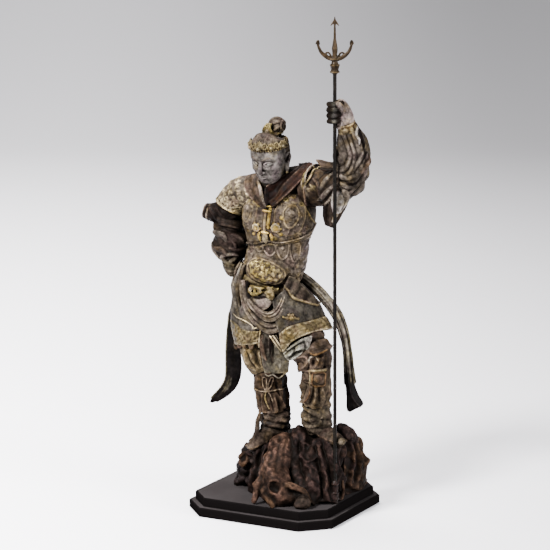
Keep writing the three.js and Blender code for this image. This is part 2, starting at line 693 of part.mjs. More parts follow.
function trident() {
  const socket = tridentLength - TRIDENT_HEAD;
  const profile = [
    [0, 0],
    [1.5, 0],
    [BUTT_SWELL, 3],
    [1.6, 13],
    [1, 14],
    [1, socket],
    [2.2, socket + 1.4],
    [2.5, socket + 5],
    [1.5, socket + 7.5],
    [1.2, socket + 11],
    [1.6, socket + 15],
    [0.7, socket + 21],
    [0.5, tridentLength - 5],
    [0, tridentLength - 2.5],
  ].map(([share, z]) => new THREE.Vector2(share * SHAFT_RADIUS, z));
  const pieces = [
    new THREE.LatheGeometry(profile, 8).rotateX(Math.PI / 2),
    barb(2.6, 6).translate(0, 0, tridentLength - 6),
  ];
  for (const side of [-1, 1]) {
    const prong = [
      [0, 8.5, 1.2],
      [0.42, 10, 1.15],
      [0.78, 13, 0.95],
      [1, 18, 0.6],
    ].map(([reach, z, radius]) => [side * reach * PRONG_REACH, 0, socket + z, radius, radius]);
    pieces.push(sweep(prong, { sides: 6, rings: 6 }));
    pieces.push(barb(1.6, 4).rotateY(side * rad(24)).translate(side * 0.97 * PRONG_REACH, 0, socket + 16.6));
  }
  return pieces
    .map((piece) => solid(leaned(piece.rotateZ(rad(QUARTER)))))
    .reduce((all, one) => all.add(one));
}

// Rock: gnarled upright lumps that lean on each other, ribbed along their length like old root wood
const ribbed = (count, depth, phase) => (t, angle) =>
  depth * Math.cos(count * angle + phase + 2 * t) + 0.5 * depth * Math.cos((count + 3) * angle - 4 * t);

const lump = (rows, count, depth, phase) =>
  sweep(rows, { sides: 9, rings: 5, carve: ribbed(count, depth, phase), caps: [0, 0.22] });

function rock() {
  const underRightBoot = [[-7, -8, 11, 20, 21], [-7, -9, 24, 15, 18], [-7.5, -9, 36, 11, 17], [-8, -9, 42, 9, 16]];
  const frontBoulder = [
    [13, -34, 11, 15, 8.5],
    [13, -33, 19, 13, 8.5],
    [11, -29.5, 28, 9.5, 8.5],
    [9, -24, 38, 7, 8.5],
    [8, -18, 49, 5.5, 7],
  ];
  const frontRidge = [
    [12, -38, 22, 2.6, 2.6],
    [19, -36, 23.5, 2.2, 2.2],
    [26, -32.5, 22.5, 2, 2],
    [31, -30, 18, 2, 2],
    [34, -28, 11, 2.6, 2.6],
  ];
  const frontLeftRoot = [
    [3, -33, 27, 3, 3],
    [-1, -35.5, 20, 2.6, 2.6],
    [-5, -36, 14, 2.4, 2.4],
    [-7, -36, 10, 3, 3],
  ];
  const behindRidge = [[27, -24, 11, 12, 12], [26, -22, 18, 10, 10], [24, -19, 27, 7, 7]];
  const leftSpur = [[-22, -2, 11, 11, 12], [-20, -4, 20, 10, 10], [-18, -7, 29, 8, 8], [-16, -8, 36, 5, 6]];
  const middlePeak = [[16, -8, 11, 15, 18], [15.5, -9, 28, 12, 15], [15, -10, 44, 7.5, 9], [15.5, -10.5, 54.5, 3, 4.5]];
  const underLeftBoot = [[32, -7, 11, 11.5, 14], [31, -6, 24, 11.5, 12.5], [30, -4.5, 38, 11, 11], [29, -3, 48.5, 9.5, 9]];
  const rearPeak = [[30, 14, 11, 12, 13], [31, 14, 28, 10, 11], [33, 13, 44, 7, 7], [33, 13, 52.5, 4, 4.5]];
  const rightMass = [[35, 19, 11, 9.5, 17], [35.5, 19, 24, 9.5, 16], [35.5, 19, 36, 8.5, 12], [35, 18, 43, 5, 8]];
  const back = [[-2, 18, 11, 22, 16], [-1, 16, 24, 17, 13], [0, 13, 36, 12, 10], [1, 11, 43, 8, 7]];
  return [
    lump(underRightBoot, 5, 1.2, 0),
    lump(frontBoulder, 4, 0.8, 1),
    lump(behindRidge, 4, 0.8, 2),
    lump(leftSpur, 4, 1, 1),
    lump(middlePeak, 6, 1.1, 2),
    lump(underLeftBoot, 5, 1, 3),
    lump(rearPeak, 5, 0.8, 0),
    lump(rightMass, 5, 0.8, 1),
    lump(back, 6, 1.2, 2),
    sweep(frontRidge, { front: [0.3, -0.9, 0.3], sides: 5, rings: 6 }),
    sweep(frontLeftRoot, { sides: 5, rings: 4 }),
    ball([31, -35.5, 15.2], [4.8, 4.4, 4.8], 8, 5),
    ball([-24, -12, 27.5], [4.2, 3.6, 3.8], 7, 5),
  ];
}

// The room that the shaft needs, at a radius round its axis
const shaftRoom = (radius) =>
  solid(
    leaned(
      new THREE.CylinderGeometry(radius, radius, tridentLength, 10)
        .rotateX(Math.PI / 2)
        .translate(0, 0, tridentLength / 2),
    ),
  );

const overPlinth = new THREE.ExtrudeGeometry(tierOutline(LEDGE), { depth: 4 * ROCK_HEIGHT, bevelEnabled: false });

const body = joined(
  [
    ...torso(),
    ...beltAndSash(),
    ...skirts(),
    ...legs(),
    ...boots(),
    ...rightArm(),
    ...leftArm(),
    ...rightHand(),
    ...leftHand(),
    ...neckAndScarf(),
    ...streamers(),
    ...head().map((piece) => piece.applyMatrix4(onNeck)),
  ],
  onFigure,
).subtract(shaftRoom(SHAFT_RADIUS + GRIP_CLEARANCE));

const rockBase = joined(rock(), onRock)
  .intersect(solid(overPlinth.translate(0, 0, PLINTH_TOP)))
  .subtract(joined(boots(SEAT_GAP), onFigure))
  .subtract(shaftRoom(SHAFT_RADIUS * BUTT_SWELL + SEAT_GAP));

const group = new THREE.Group();
group.add(
  meshOf(plinth, "plinth", 0x1b1b1c, 0.45, 0),
  meshOf(rockBase, "rock_base", 0x3a2a22, 0.6, 0),
  meshOf(body, "figure", 0x6d5a3c, 0.5, 0.2),
  meshOf(trident(), "trident", 0x23211c, 0.4, 0.4),
);
export default group;
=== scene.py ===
import math

import bpy
import numpy as np
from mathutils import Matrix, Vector, kdtree


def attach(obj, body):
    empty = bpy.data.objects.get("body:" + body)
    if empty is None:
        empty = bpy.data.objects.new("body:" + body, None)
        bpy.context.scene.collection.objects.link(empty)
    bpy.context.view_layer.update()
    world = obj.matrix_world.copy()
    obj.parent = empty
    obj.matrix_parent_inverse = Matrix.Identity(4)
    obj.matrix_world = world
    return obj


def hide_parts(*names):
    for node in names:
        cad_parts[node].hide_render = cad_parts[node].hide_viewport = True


MM = 0.001
TAU = 2 * math.pi
FRONT = (0, -1, 0)
UP = (0, 0, 1)
# Level towards the viewer, level to the viewer's right, and from the figure to the camera
TOWARDS_VIEW = (0.47, -0.88, 0)
ACROSS_VIEW = np.array([0.8805, 0.4741, 0])
TO_CAMERA = np.array([0.4648, -0.8632, 0.1977])

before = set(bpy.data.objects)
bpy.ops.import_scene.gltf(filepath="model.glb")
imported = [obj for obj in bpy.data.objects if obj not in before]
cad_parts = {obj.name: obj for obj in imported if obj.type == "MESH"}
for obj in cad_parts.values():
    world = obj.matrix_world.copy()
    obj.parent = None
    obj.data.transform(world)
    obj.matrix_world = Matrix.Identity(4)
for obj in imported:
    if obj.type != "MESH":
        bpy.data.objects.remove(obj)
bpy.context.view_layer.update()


# Numbers and curves

def smooth_rows(rows, t):
    """Rows of numbers read off at shares t of their length by a Catmull-Rom curve."""
    rows = np.asarray(rows, float)
    last = len(rows) - 1
    s = np.clip(np.asarray(t, float), 0, 1) * last
    i = np.minimum(s.astype(int), last - 1)
    f = (s - i)[:, None]
    a = rows[np.maximum(i - 1, 0)]
    b = rows[i]
    c = rows[i + 1]
    d = rows[np.minimum(i + 2, last)]
    bend = (2 * a - 5 * b + 4 * c - d) * f**2 + (3 * b - a - 3 * c + d) * f**3
    return 0.5 * (2 * b + (c - a) * f + bend)


def unit(v):
    """Vectors scaled to a length of 1."""
    return v / np.maximum(np.linalg.norm(v, axis=-1, keepdims=True), 1e-9)


def bell(x, width):
    """1 where x is 0, and falling off smoothly over that width."""
    return np.exp(-((x / width) ** 2))


def rise(x, low, high):
    """0 below low, 1 above high, and smooth between them."""
    s = np.clip((x - low) / (high - low), 0, 1)
    return s * s * (3 - 2 * s)


def pleat(x):
    """Round ridges from -1 to 1 with a sharp valley at every full turn."""
    return 2 * np.abs(np.sin(x / 2)) - 1


WAVES = unit(np.array([[1, 2, 3], [-3, 1, 2], [2, -3, 1], [1, -1, 2], [3, 2, -1], [-1, 3, 2], [2, 1, 3]]))


def wander(p, size, seed=0):
    """A smooth number from -1 to 1 that wanders over space, with features of about that size."""
    total = 0
    for k in range(5):
        direction = WAVES[(k + seed) % len(WAVES)]
        total = total + np.sin((p @ direction) * TAU / (size * (1 + 0.3 * k)) + 1.7 * seed + 2.3 * k)
    return total / 3.2


def length_of(points):
    """The length of a line through points."""
    return np.sum(np.linalg.norm(np.diff(points, axis=0), axis=1))


# Painted shapes

class Shape:
    """Vertices in millimetres, the triangles between them and the name of their paint."""

    def __init__(self, vertices, triangles, paint):
        self.vertices = np.asarray(vertices, float)
        self.triangles = np.asarray(triangles, int)
        self.paint = paint


def grid_triangles(rings, sides):
    """Triangles of rings of points, closed round each ring and capped by one more point at either end."""
    i, k = np.meshgrid(np.arange(rings - 1), np.arange(sides), indexing="ij")
    a = (i * sides + k).ravel()
    b = (i * sides + (k + 1) % sides).ravel()
    walls = np.concatenate([np.stack([a, b, a + sides], 1), np.stack([b, b + sides, a + sides], 1)])
    around = np.arange(sides)
    ahead = (around + 1) % sides
    hub = rings * sides
    first = np.stack([ahead, around, np.full(sides, hub)], 1)
    start = (rings - 1) * sides
    last = np.stack([start + around, start + ahead, np.full(sides, hub + 1)], 1)
    return np.concatenate([walls, first, last])


def tube(points, out, radii, flat, paint, sides=9):
    """A rounded tube through points. It is radii wide to each side, and flat times that along out."""
    points = np.asarray(points, float)
    along = unit(np.gradient(points, axis=0))
    out = unit(out - np.sum(out * along, 1, keepdims=True) * along)
    side = np.cross(along, out)
    t = np.linspace(0, 1, len(points))
    if np.ndim(radii):
        size = smooth_rows(np.reshape(radii, (-1, 1)), t)[:, 0]
    else:
        size = np.full(len(points), radii)
    ends = np.sqrt(np.clip(np.minimum(t, 1 - t) * len(points) / 3, 0.06, 1))
    size = (size * ends)[:, None, None]
    angle = np.arange(sides) / sides * TAU
    ring = np.cos(angle)[None, :, None] * side[:, None] + flat * np.sin(angle)[None, :, None] * out[:, None]
    vertices = (points[:, None] + size * ring).reshape(-1, 3)
    vertices = np.concatenate([vertices, points[:1], points[-1:]])
    return Shape(vertices, grid_triangles(len(points), sides), paint)


def strand(points, radii, paint, flat=1.0, out=TOWARDS_VIEW, step=0.5):
    """A tube through a few points in space."""
    points = np.asarray(points, float)
    path = smooth_rows(points, np.linspace(0, 1, max(int(length_of(points) / step), 6)))
    return tube(path, np.tile(np.asarray(out, float), (len(path), 1)), radii, flat, paint)


def ball(centre, sizes, paint, sides=28):
    """A round form with three half sizes."""
    rings = sides // 2 + 1
    down = np.linspace(0, math.pi, rings + 2)[1:-1]
    around = np.arange(sides) / sides * TAU
    x = np.sin(down)[:, None] * np.cos(around)
    y = np.sin(down)[:, None] * np.sin(around)
    z = np.cos(down)[:, None] * np.ones(sides)
    points = np.stack([x, y, z], -1).reshape(-1, 3)
    points = np.concatenate([points, [[0, 0, 1], [0, 0, -1]]]) * sizes
    return Shape(points + centre, grid_triangles(rings, sides)[:, ::-1], paint)


def sheet(edges, paint, out=TOWARDS_VIEW, thick=1.2, crease=None, bulge=0.0, step=0.36):
    """A sheet of cloth or plate through edges that lie side by side, each a few points in space.
    crease(s, w, points) lifts its face, where s is the share along the edges and w the share across them."""
    edges = [np.asarray(edge, float) for edge in edges]
    reach = max(length_of(edge) for edge in edges)
    s = np.linspace(0, 1, max(int(reach / step), 5))
    lines = np.stack([smooth_rows(edge, s) for edge in edges])
    width = np.linalg.norm(np.diff(lines, axis=0), axis=2).sum(0).max()
    w = np.linspace(0, 1, max(int(width / step), 4))
    top = smooth_rows(lines.reshape(len(edges), -1), w).reshape(len(w), len(s), 3).transpose(1, 0, 2)
    normal = unit(np.cross(np.gradient(top, axis=0), np.gradient(top, axis=1)))
    middle = normal[len(s) // 3, len(w) // 2]
    normal = normal * (1 if middle @ np.asarray(out, float) > 0 else -1)
    lift = bulge * 4 * w * (1 - w) * np.ones((len(s), 1))
    if crease:
        lift = lift + crease(s[:, None], w[None, :], top)
    under = top - thick * normal
    top = top + lift[..., None] * normal
    loop = np.concatenate([top, under[:, ::-1]], 1)
    ends = [loop[0].mean(0), loop[-1].mean(0)]
    return Shape(np.concatenate([loop.reshape(-1, 3), ends]), grid_triangles(len(s), loop.shape[1]), paint)


def panel(edge_a, edge_b, paint, **shape):
    """A sheet between two edges."""
    return sheet([edge_a, edge_b], paint, **shape)


def from_line(p, line):
    """How far each point is, as the viewer sees it, from a line through points, and its share along it."""
    line = smooth_rows(line, np.linspace(0, 1, 3 * len(line)))
    best = np.full(p.shape[:-1], 1e9)
    share = np.zeros(p.shape[:-1])
    for k, (a, b) in enumerate(zip(line[:-1], line[1:])):
        along = b - a - ((b - a) @ TO_CAMERA) * TO_CAMERA
        off = p - a
        off = off - (off @ TO_CAMERA)[..., None] * TO_CAMERA
        at = np.clip(off @ along / max(along @ along, 1e-6), 0, 1)
        far = np.linalg.norm(off - at[..., None] * along, axis=-1)
        closer = far < best
        best = np.where(closer, far, best)
        share = np.where(closer, (k + at) / (len(line) - 1), share)
    return best, share


def folded(p, lines):
    """Ridges and grooves along lines as the viewer sees them, each as points, half width and height."""
    lift = np.zeros(p.shape[:-1])
    for points, width, height in lines:
        away, share = from_line(p, points)
        taper = np.minimum(rise(share, -0.05, 0.25), 1 - rise(share, 0.75, 1.05)) * 0.75 + 0.25
        lift = lift + height * taper * np.exp(-((away / width) ** 1.4))
    return lift


def drape(count, depth, seed=0, warp=1.0, size=18):
    """Folds of a panel that run along it, count of them from edge to edge."""
    def crease(s, w, p):
        phase = TAU * count * w + warp * wander(p, size, seed)
        swell = 0.75 + 0.35 * wander(p, 1.3 * size, seed + 2)
        return depth * pleat(phase) * swell
    return crease


def drapery(p, across, spacing, seed=0, warp=1.6):
    """Irregular folds of cloth that lie across a direction and fork where two sets of them meet."""
    across = unit(np.asarray(across, float))
    other = unit(across + 0.7 * np.array([across[1], -across[0], 0.5 * across[0] + 0.3]))
    one = pleat(TAU * (p @ across) / spacing + warp * wander(p, 4.5 * spacing, seed))
    two = pleat(TAU * (p @ other) / (1.3 * spacing) + warp * wander(p, 3.5 * spacing, seed + 3))
    mask = rise(wander(p, 5 * spacing, seed + 5), -0.25, 0.25)
    return (mask * one + (1 - mask) * two) * (0.7 + 0.4 * wander(p, 3 * spacing, seed + 1))


class Form:
    """A closed body swept along rows of x, y, z, half width to the side and half width to the front.
    On it, t is the share of its length, and the angle is 0 degrees on the side and 90 in front.
    carve(t, degrees, points) is added to the half widths. hollow is how deep its far end is open."""

    def __init__(self, rows, paint, front=FRONT, carve=None, caps=(0, 0), hollow=0.0, wall=1.0, step=0.4):
        self.rows = np.array(rows, float)
        self.paint = paint
        self.front = np.array(front, float)
        self.carve = carve
        self.caps = caps
        self.hollow = hollow
        self.wall = wall
        self.step = step

    def frames(self, t):
        """The rows at shares t, with the directions along the form, to its side and to its front."""
        row = smooth_rows(self.rows, t)
        reach = 0.01
        after = smooth_rows(self.rows, np.minimum(t + reach, 1))[:, :3]
        before = smooth_rows(self.rows, np.maximum(t - reach, 0))[:, :3]
        along = unit(after - before)
        ahead = unit(self.front - (along @ self.front)[:, None] * along)
        return row, along, np.cross(along, ahead), ahead

    def surface(self, t, degrees, lift=0.0):
        """Points on the surface, or lift outside it."""
        t = np.asarray(t, float)
        degrees = np.asarray(degrees, float)
        row, along, side, ahead = self.frames(t)
        c = np.cos(np.radians(degrees))[:, None]
        s = np.sin(np.radians(degrees))[:, None]
        plain = row[:, :3] + c * side * row[:, 3:4] + s * ahead * row[:, 4:5]
        raised = np.broadcast_to(np.asarray(lift, float), t.shape)
        if self.carve:
            raised = raised + self.carve(t, degrees, plain)
        raised = raised[:, None]
        return row[:, :3] + c * side * (row[:, 3:4] + raised) + s * ahead * (row[:, 4:5] + raised)

    def outward(self, t, degrees):
        """The directions in which the surface faces."""
        here = self.surface(t, degrees)
        after = self.surface(np.minimum(t + 0.01, 1), degrees)
        before = self.surface(np.maximum(t - 0.01, 0), degrees)
        onward = after - before
        around = self.surface(t, degrees + 2) - self.surface(t, degrees - 2)
        out = unit(np.cross(around, onward))
        facing = np.sum(out * (here - smooth_rows(self.rows, t)[:, :3]), 1, keepdims=True)
        return out * np.where(facing < 0, -1, 1)

    def stations(self, rings):
        """Shares of the length for its rings, closer together where an end is rounded."""
        t = np.linspace(0, 1, rings)
        if self.caps[0] and self.caps[1]:
            return 0.5 - 0.5 * np.cos(math.pi * t)
        if self.caps[0]:
            return 1 - np.cos(math.pi / 2 * t)
        if self.caps[1]:
            return np.sin(math.pi / 2 * t)
        return t

    def narrowing(self, t):
        """How wide the rings are where the ends are rounded, as a share of the full width."""
        shrink = np.ones(len(t))
        for cap, from_end in zip(self.caps, (t, 1 - t)):
            if cap:
                inside = np.minimum(from_end / cap, 1)
                shrink = np.minimum(shrink, np.sqrt(np.clip(1 - (1 - inside) ** 2, 0.004, 1)))
        return shrink

    def shape(self):
        """The whole surface as one closed shape."""
        girth = TAU * max(self.rows[:, 3].max(), self.rows[:, 4].max())
        rings = max(int(length_of(self.rows[:, :3]) / self.step), 8)
        sides = max(int(girth / self.step), 10)
        t = self.stations(rings)
        angle = np.arange(sides) / sides * 360
        points = self.surface(np.repeat(t, sides), np.tile(angle, rings)).reshape(rings, sides, 3)
        centres = smooth_rows(self.rows, t)[:, None, :3]
        points = centres + (points - centres) * self.narrowing(t)[:, None, None]
        if self.hollow:
            inner = np.linspace(1, 1 - self.hollow, max(int(self.hollow * rings), 4))
            deep = self.surface(np.repeat(inner, sides), np.tile(angle, len(inner))).reshape(-1, sides, 3)
            middle = smooth_rows(self.rows, inner)[:, None, :3]
            width = np.maximum(smooth_rows(self.rows, inner)[:, 3:5].min(1), 1)
            keep = 1 - self.wall / width
            points = np.concatenate([points, middle + (deep - middle) * keep[:, None, None]])
            centres = np.concatenate([centres, middle])
        ends = [centres[0, 0], centres[-1, 0]]
        return Shape(np.concatenate([points.reshape(-1, 3), ends]), grid_triangles(len(points), sides),
                     self.paint)

    def level(self, z):
        """The share t at which the form's axis is at height z."""
        t = np.linspace(0, 1, 200)
        heights = smooth_rows(self.rows, t)[:, 2]
        order = np.argsort(heights)
        return np.interp(z, heights[order], t[order])

    def at_heights(self, points):
        """Turns places of (degrees, height) into (t, degrees)."""
        return [(self.level(z), degrees) for degrees, z in points]

    def cord(self, points, radii, paint, lift=0.0, flat=0.8, step=0.45):
        """A cord, rib or strap laid over the surface through points of (t, degrees)."""
        points = np.asarray(points, float)
        rough = smooth_rows(points, np.linspace(0, 1, 4 * len(points)))
        length = length_of(self.surface(rough[:, 0], rough[:, 1]))
        path = smooth_rows(points, np.linspace(0, 1, max(int(length / step), 8)))
        at = self.surface(path[:, 0], path[:, 1], lift)
        return tube(at, self.outward(path[:, 0], path[:, 1]), radii, flat, paint)

    def hoop(self, t, radii, paint, lift=0.0, turns=range(0, 370, 24)):
        """A cord that runs round the form at one level, all the way or through some degrees of it."""
        return self.cord([(t, degrees) for degrees in turns], radii, paint, lift)

    def seen(self, points):
        """The (t, degrees) of the surface that the viewer sees at each of these points in space."""
        t, degrees = [grid.ravel() for grid in np.meshgrid(np.linspace(0, 1, 90), np.arange(0, 360, 4.0))]
        at = self.surface(t, degrees)
        facing = (at - smooth_rows(self.rows, t)[:, :3]) @ TO_CAMERA
        found = []
        for point in np.asarray(points, float):
            away = at - point
            aside = np.linalg.norm(away - (away @ TO_CAMERA)[:, None] * TO_CAMERA, axis=1)
            best = np.argmin(np.where(facing > 0, aside, 1e9))
            found.append((t[best], degrees[best]))
        turns = np.degrees(np.unwrap(np.radians([degrees for _, degrees in found])))
        return [(t, turn) for (t, _), turn in zip(found, turns)]

    def laid(self, points, radii, paint, lift=0.0, flat=0.8):
        """A cord over the part of the surface that the viewer sees at these points in space."""
        return self.cord(self.seen(points), radii, paint, lift, flat)

    def spot(self, t, degrees):
        """Turns millimetres (right, up) about a point of the surface into (t, degrees)."""
        t0 = np.array([t], float)
        d0 = np.array([degrees], float)
        around = np.linalg.norm(self.surface(t0, d0 + 1) - self.surface(t0, d0 - 1)) / 2
        onward = np.linalg.norm(self.surface(t0 + 0.01, d0) - self.surface(t0 - 0.01, d0)) / 0.02
        rising = np.sign(self.frames(t0)[1][0, 2]) or 1
        return lambda right, up: (t + rising * up / onward, degrees - rising * right / around)

    def boss(self, t, degrees, radius, paint, rise_by=0.5, sides=18):
        """A round stud."""
        at = self.surface(np.array([t]), np.array([degrees]))[0]
        out = self.outward(np.array([t]), np.array([degrees]))[0]
        knob = ball((0, 0, 0), (radius, radius, radius * rise_by), paint, sides=sides)
        turn = np.array(Vector((0, 0, 1)).rotation_difference(Vector(out)).to_matrix())
        knob.vertices = knob.vertices @ turn.T + at
        return knob

    def ring(self, t, degrees, width, height, radius, paint, start=0, end=360, lift=0.0):
        """An oval rim, or the part of it between two clock angles."""
        at = self.spot(t, degrees)
        turns = np.radians(np.linspace(start, end, 14))
        return self.cord([at(width * math.cos(a), height * math.sin(a)) for a in turns], radius, paint,
                         lift)

    def curl(self, t, degrees, size, start, hand, radius, paint):
        """A scroll that winds inwards to a bead, as in a carved vine."""
        at = self.spot(t, degrees)
        path = []
        for share in np.linspace(0, 1, 12):
            reach = size * (1 - 0.8 * share)
            a = math.radians(start) + hand * share * 1.45 * TAU
            path.append(at(reach * math.cos(a), reach * math.sin(a)))
        return self.cord(path, [0.3 * radius, radius, radius, 0.9 * radius, 1.15 * radius], paint)


# Paint

def srgb(r, g, b):
    """Linear colour of a paint chip given as 0 to 255 values."""
    return tuple((c / 255 / 12.92) if c < 10.3 else ((c / 255 + 0.055) / 1.055) ** 2.4 for c in (r, g, b))


# Each paint is a colour and how gilded it is
PAINTS = {
    "armour": (srgb(126, 112, 96), 0.25),
    "gold": (srgb(182, 160, 101), 0.9),
    "pale_gold": (srgb(194, 175, 137), 0.6),
    "border": (srgb(141, 124, 88), 0.4),
    # The scarf's own red-brown, darkened in part as painted shade
    "scarf": (srgb(55, 36, 27), 0.0),
    "upper_sleeve": (srgb(73, 60, 49), 0.0),
    "fist": (srgb(84, 76, 62), 0.0),
    "elbow_cloth": (srgb(193, 182, 172), 0.0),
    # The scarf's inner band, painted darker as shade
    "collar_painted_shade": (srgb(33, 16, 11), 0.0),
    "tarnish": (srgb(85, 66, 44), 0.3),
    # The left breastplate's ground, darkened in part as painted shade
    "shaded_breast_ground": (srgb(54, 46, 36), 0.1),
    # Pale paint laid as a painted sheen on the left of the waist
    "painted_side_sheen": (srgb(185, 168, 158), 0.1),
    "bright_gold": (srgb(232, 196, 103), 0.9),
    "left_gaiter": (srgb(117, 101, 82), 0.05),
    # The scarf's colour painted lighter where light falls: painted light
    "scarf_painted_light": (srgb(94, 78, 66), 0.0),
    "scarf_rim": (srgb(104, 86, 73), 0.1),
    "sleeve": (srgb(114, 103, 92), 0.0),
    "dark_sleeve": (srgb(66, 55, 48), 0.0),
    "deep_sleeve": (srgb(39, 30, 26), 0.0),
    "shadow": (srgb(26, 19, 16), 0.0),
    "flesh": (srgb(148, 139, 132), 0.0),
    "dark_flesh": (srgb(79, 76, 71), 0.0),
    "hand": (srgb(186, 167, 158), 0.0),
    "finger": (srgb(38, 31, 25), 0.0),
    "lacing": (srgb(143, 132, 128), 0.0),
    # The armour of the left guard, painted darker as shade
    "shaded_guard": (srgb(86, 75, 61), 0.3),
    "pale_trim": (srgb(160, 140, 108), 0.4),
    "eye": (srgb(191, 185, 174), 0.0),
    "hair": (srgb(117, 103, 88), 0.05),
    "sash": (srgb(122, 109, 93), 0.0),
    "pale_cloth": (srgb(146, 132, 116), 0.0),
    "skirt": (srgb(114, 106, 96), 0.0),
    "left_skirt": (srgb(84, 78, 69), 0.0),
    "inner_cloth": (srgb(92, 80, 67), 0.0),
    "trousers": (srgb(99, 83, 70), 0.05),
    "gaiter": (srgb(88, 72, 58), 0.05),
    "strap": (srgb(109, 84, 58), 0.3),
    "boot": (srgb(86, 73, 62), 0.0),
    "boot_light": (srgb(95, 84, 70), 0.0),
    "wad": (srgb(150, 146, 132), 0.0),
    "tongue": (srgb(192, 175, 156), 0.0),
    "ribbon": (srgb(32, 28, 27), 0.0),
    "ribbon_edge": (srgb(101, 94, 73), 0.0),
    "ribbon_face": (srgb(157, 147, 129), 0.0),
    "rock": (srgb(40, 29, 26), 0.0),
    "hip_cloth": (srgb(89, 79, 66), 0.0),
    "tail_cloth": (srgb(109, 102, 88), 0.0),
    "gaiter_light": (srgb(137, 119, 90), 0.05),
    "rock_light": (srgb(62, 46, 35), 0.0),
    "rock_dark": (srgb(34, 27, 26), 0.0),
    "nugget": (srgb(51, 42, 36), 0.0),
    "boulder": (srgb(67, 49, 40), 0.0),
    "trident": (srgb(32, 27, 22), 0.2),
    "trident_gold": (srgb(100, 82, 54), 0.5),
    "butt": (srgb(52, 37, 32), 0.2),
    "prong": (srgb(78, 62, 43), 0.5),
}


# Torso: cuirass with ringed breastplates, a buckled strap, shaped belly plates and a scrolled oval plate

TORSO = [
    [-12, -1.5, 126, 18, 15.5],
    [-9.5, -1, 138, 17.5, 15.8],
    [-7.5, -1, 145, 18.5, 16.5],
    [-5.5, -0.5, 152, 18.2, 16],
    [-4, 0, 158, 17.8, 15.2],
    [-4.5, 0, 164, 19.4, 16],
    [-4.5, 0, 170, 21, 17],
    [-4, 0, 176, 22.2, 17.8],
    [-3.5, 1, 183, 22.2, 17.5],
    [-3.5, 1, 190, 20, 15],
    [-4.5, 0, 197, 14.5, 11.5],
]
LEFT_BREAST = (50, 181)
RIGHT_BREAST = (127, 179.5)
BELLY = (81, 147)


def torso_carve(t, degrees, p):
    z = p[:, 2]
    turn = (degrees + 90) % 360 - 90
    swell = 0
    for at, level in (LEFT_BREAST, RIGHT_BREAST):
        swell = swell + 1.8 * bell(turn - at, 24) * bell(z - level, 8)
    swell = swell + 1.2 * bell(turn - BELLY[0], 36) * bell(z - BELLY[1], 7)
    oval = ((turn - BELLY[0]) / 45) ** 2 + ((z - BELLY[1]) / 8) ** 2
    return swell + 0.9 * rise(-oval, -1.0, -0.8) - 0.8 * bell(z - 137.5, 1.4) + 0.12 * wander(p, 7)


def torso_form():
    return Form(TORSO, "armour", carve=torso_carve)


def torso():
    """The cuirass, with its breastplates, rims, strap, belly plates and the gilded curls between them."""
    body = torso_form()
    on = body.at_heights
    made = [body.shape()]
    made += shaded_breast_ground(body)
    made += breastplate(body, LEFT_BREAST, 4.9, 10)
    made += breastplate(body, RIGHT_BREAST, 5.2, 8.5)
    made += breast_leaves(body) + strap_and_rosettes(body) + breast_rim(body)
    armhole = [(-22, 197), (12, 193), (24, 189), (22, 184), (8, 179.5), (-12, 177), (-24, 176.5)]
    made.append(body.cord(on(armhole), 0.5, "border", 0.3))
    made.append(body.cord(on([(168, 192), (160, 186), (158, 178), (165, 172)]), 0.5, "border", 0.3))
    made += rib_plates(body) + oval_plate(body) + waist(body)
    for degrees, z, size, start, hand in (
        (58, 190.5, 2.1, 0, 1),
        (44, 191.5, 2.0, 150, -1),
        (31, 187.5, 1.9, 60, 1),
        (104, 186.5, 1.8, 30, -1),
        (118, 189, 1.8, 200, 1),
        (132, 187.5, 1.8, 90, -1),
        (142, 171.5, 1.9, 200, 1),
        (72, 167, 1.6, 0, -1),
        (101, 166.5, 1.6, 180, 1),
    ):
        made.append(body.curl(body.level(z), degrees, size, start, hand, 0.5, "gold"))
    return made


def low_band(body, spot, half, up, thick, paint, lift):
    """A flat band of ground that lies low between raised ornaments."""
    return body.cord([spot(-half, up), spot(0, up), spot(half, up)], [1.4, thick, 1.4], paint, lift, 0.3)


def shaded_breast_ground(body):
    """The dark ground inside the rings of the left breastplate, partly its own colour and partly painted
    shade.
    """
    degrees, z = LEFT_BREAST
    spot = body.spot(body.level(z), degrees)
    return [low_band(body, spot, 4.2 - 0.4 * abs(up), up, 2.0, "shaded_breast_ground", -0.25)
            for up in (-3.4, 0, 3.4)]


def breastplate(body, place, inner, outer):
    """Two double rings round a stud, with beads between them."""
    degrees, z = place
    t = body.level(z)
    spot = body.spot(t, degrees)
    made = [
        body.ring(t, degrees, inner, 5.4, 0.5, "pale_trim"),
        body.ring(t, degrees, inner - 1.3, 4.1, 0.3, "armour"),
        body.ring(t, degrees, outer, 10.6, 0.5, "pale_trim", 150, 400),
        body.ring(t, degrees, outer - 1.3, 9.3, 0.3, "armour", 160, 390),
        body.boss(t, degrees, 2.2, "armour", 0.3),
    ]
    for k in range(7):
        a = math.radians(185 + 28 * k)
        made.append(body.boss(*spot((outer - 3.3) * math.cos(a), 7.2 * math.sin(a)), 0.7, "armour", 0.8))
    return made


def breast_rim(body):
    """The corded rim under the breastplates."""
    rim = [(-24, 176.5), (-10, 174), (6, 170.5), (25, 166.8), (45, 165), (64, 164), (85, 165), (107, 163.5),
           (150, 163)]
    line = body.at_heights(rim)
    below = body.at_heights([(degrees, z - 1.9) for degrees, z in rim])
    made = [body.cord(line, 0.6, "armour", 0.3), body.cord(below, 0.4, "pale_trim", 0.2)]
    for share in np.linspace(0.02, 0.98, 46):
        spot = body.spot(*smooth_rows(line, [share])[0])
        made.append(body.cord([spot(-0.6, -0.7), spot(0, 0), spot(0.6, 0.8)], 0.32, "armour", 1.0))
    return made


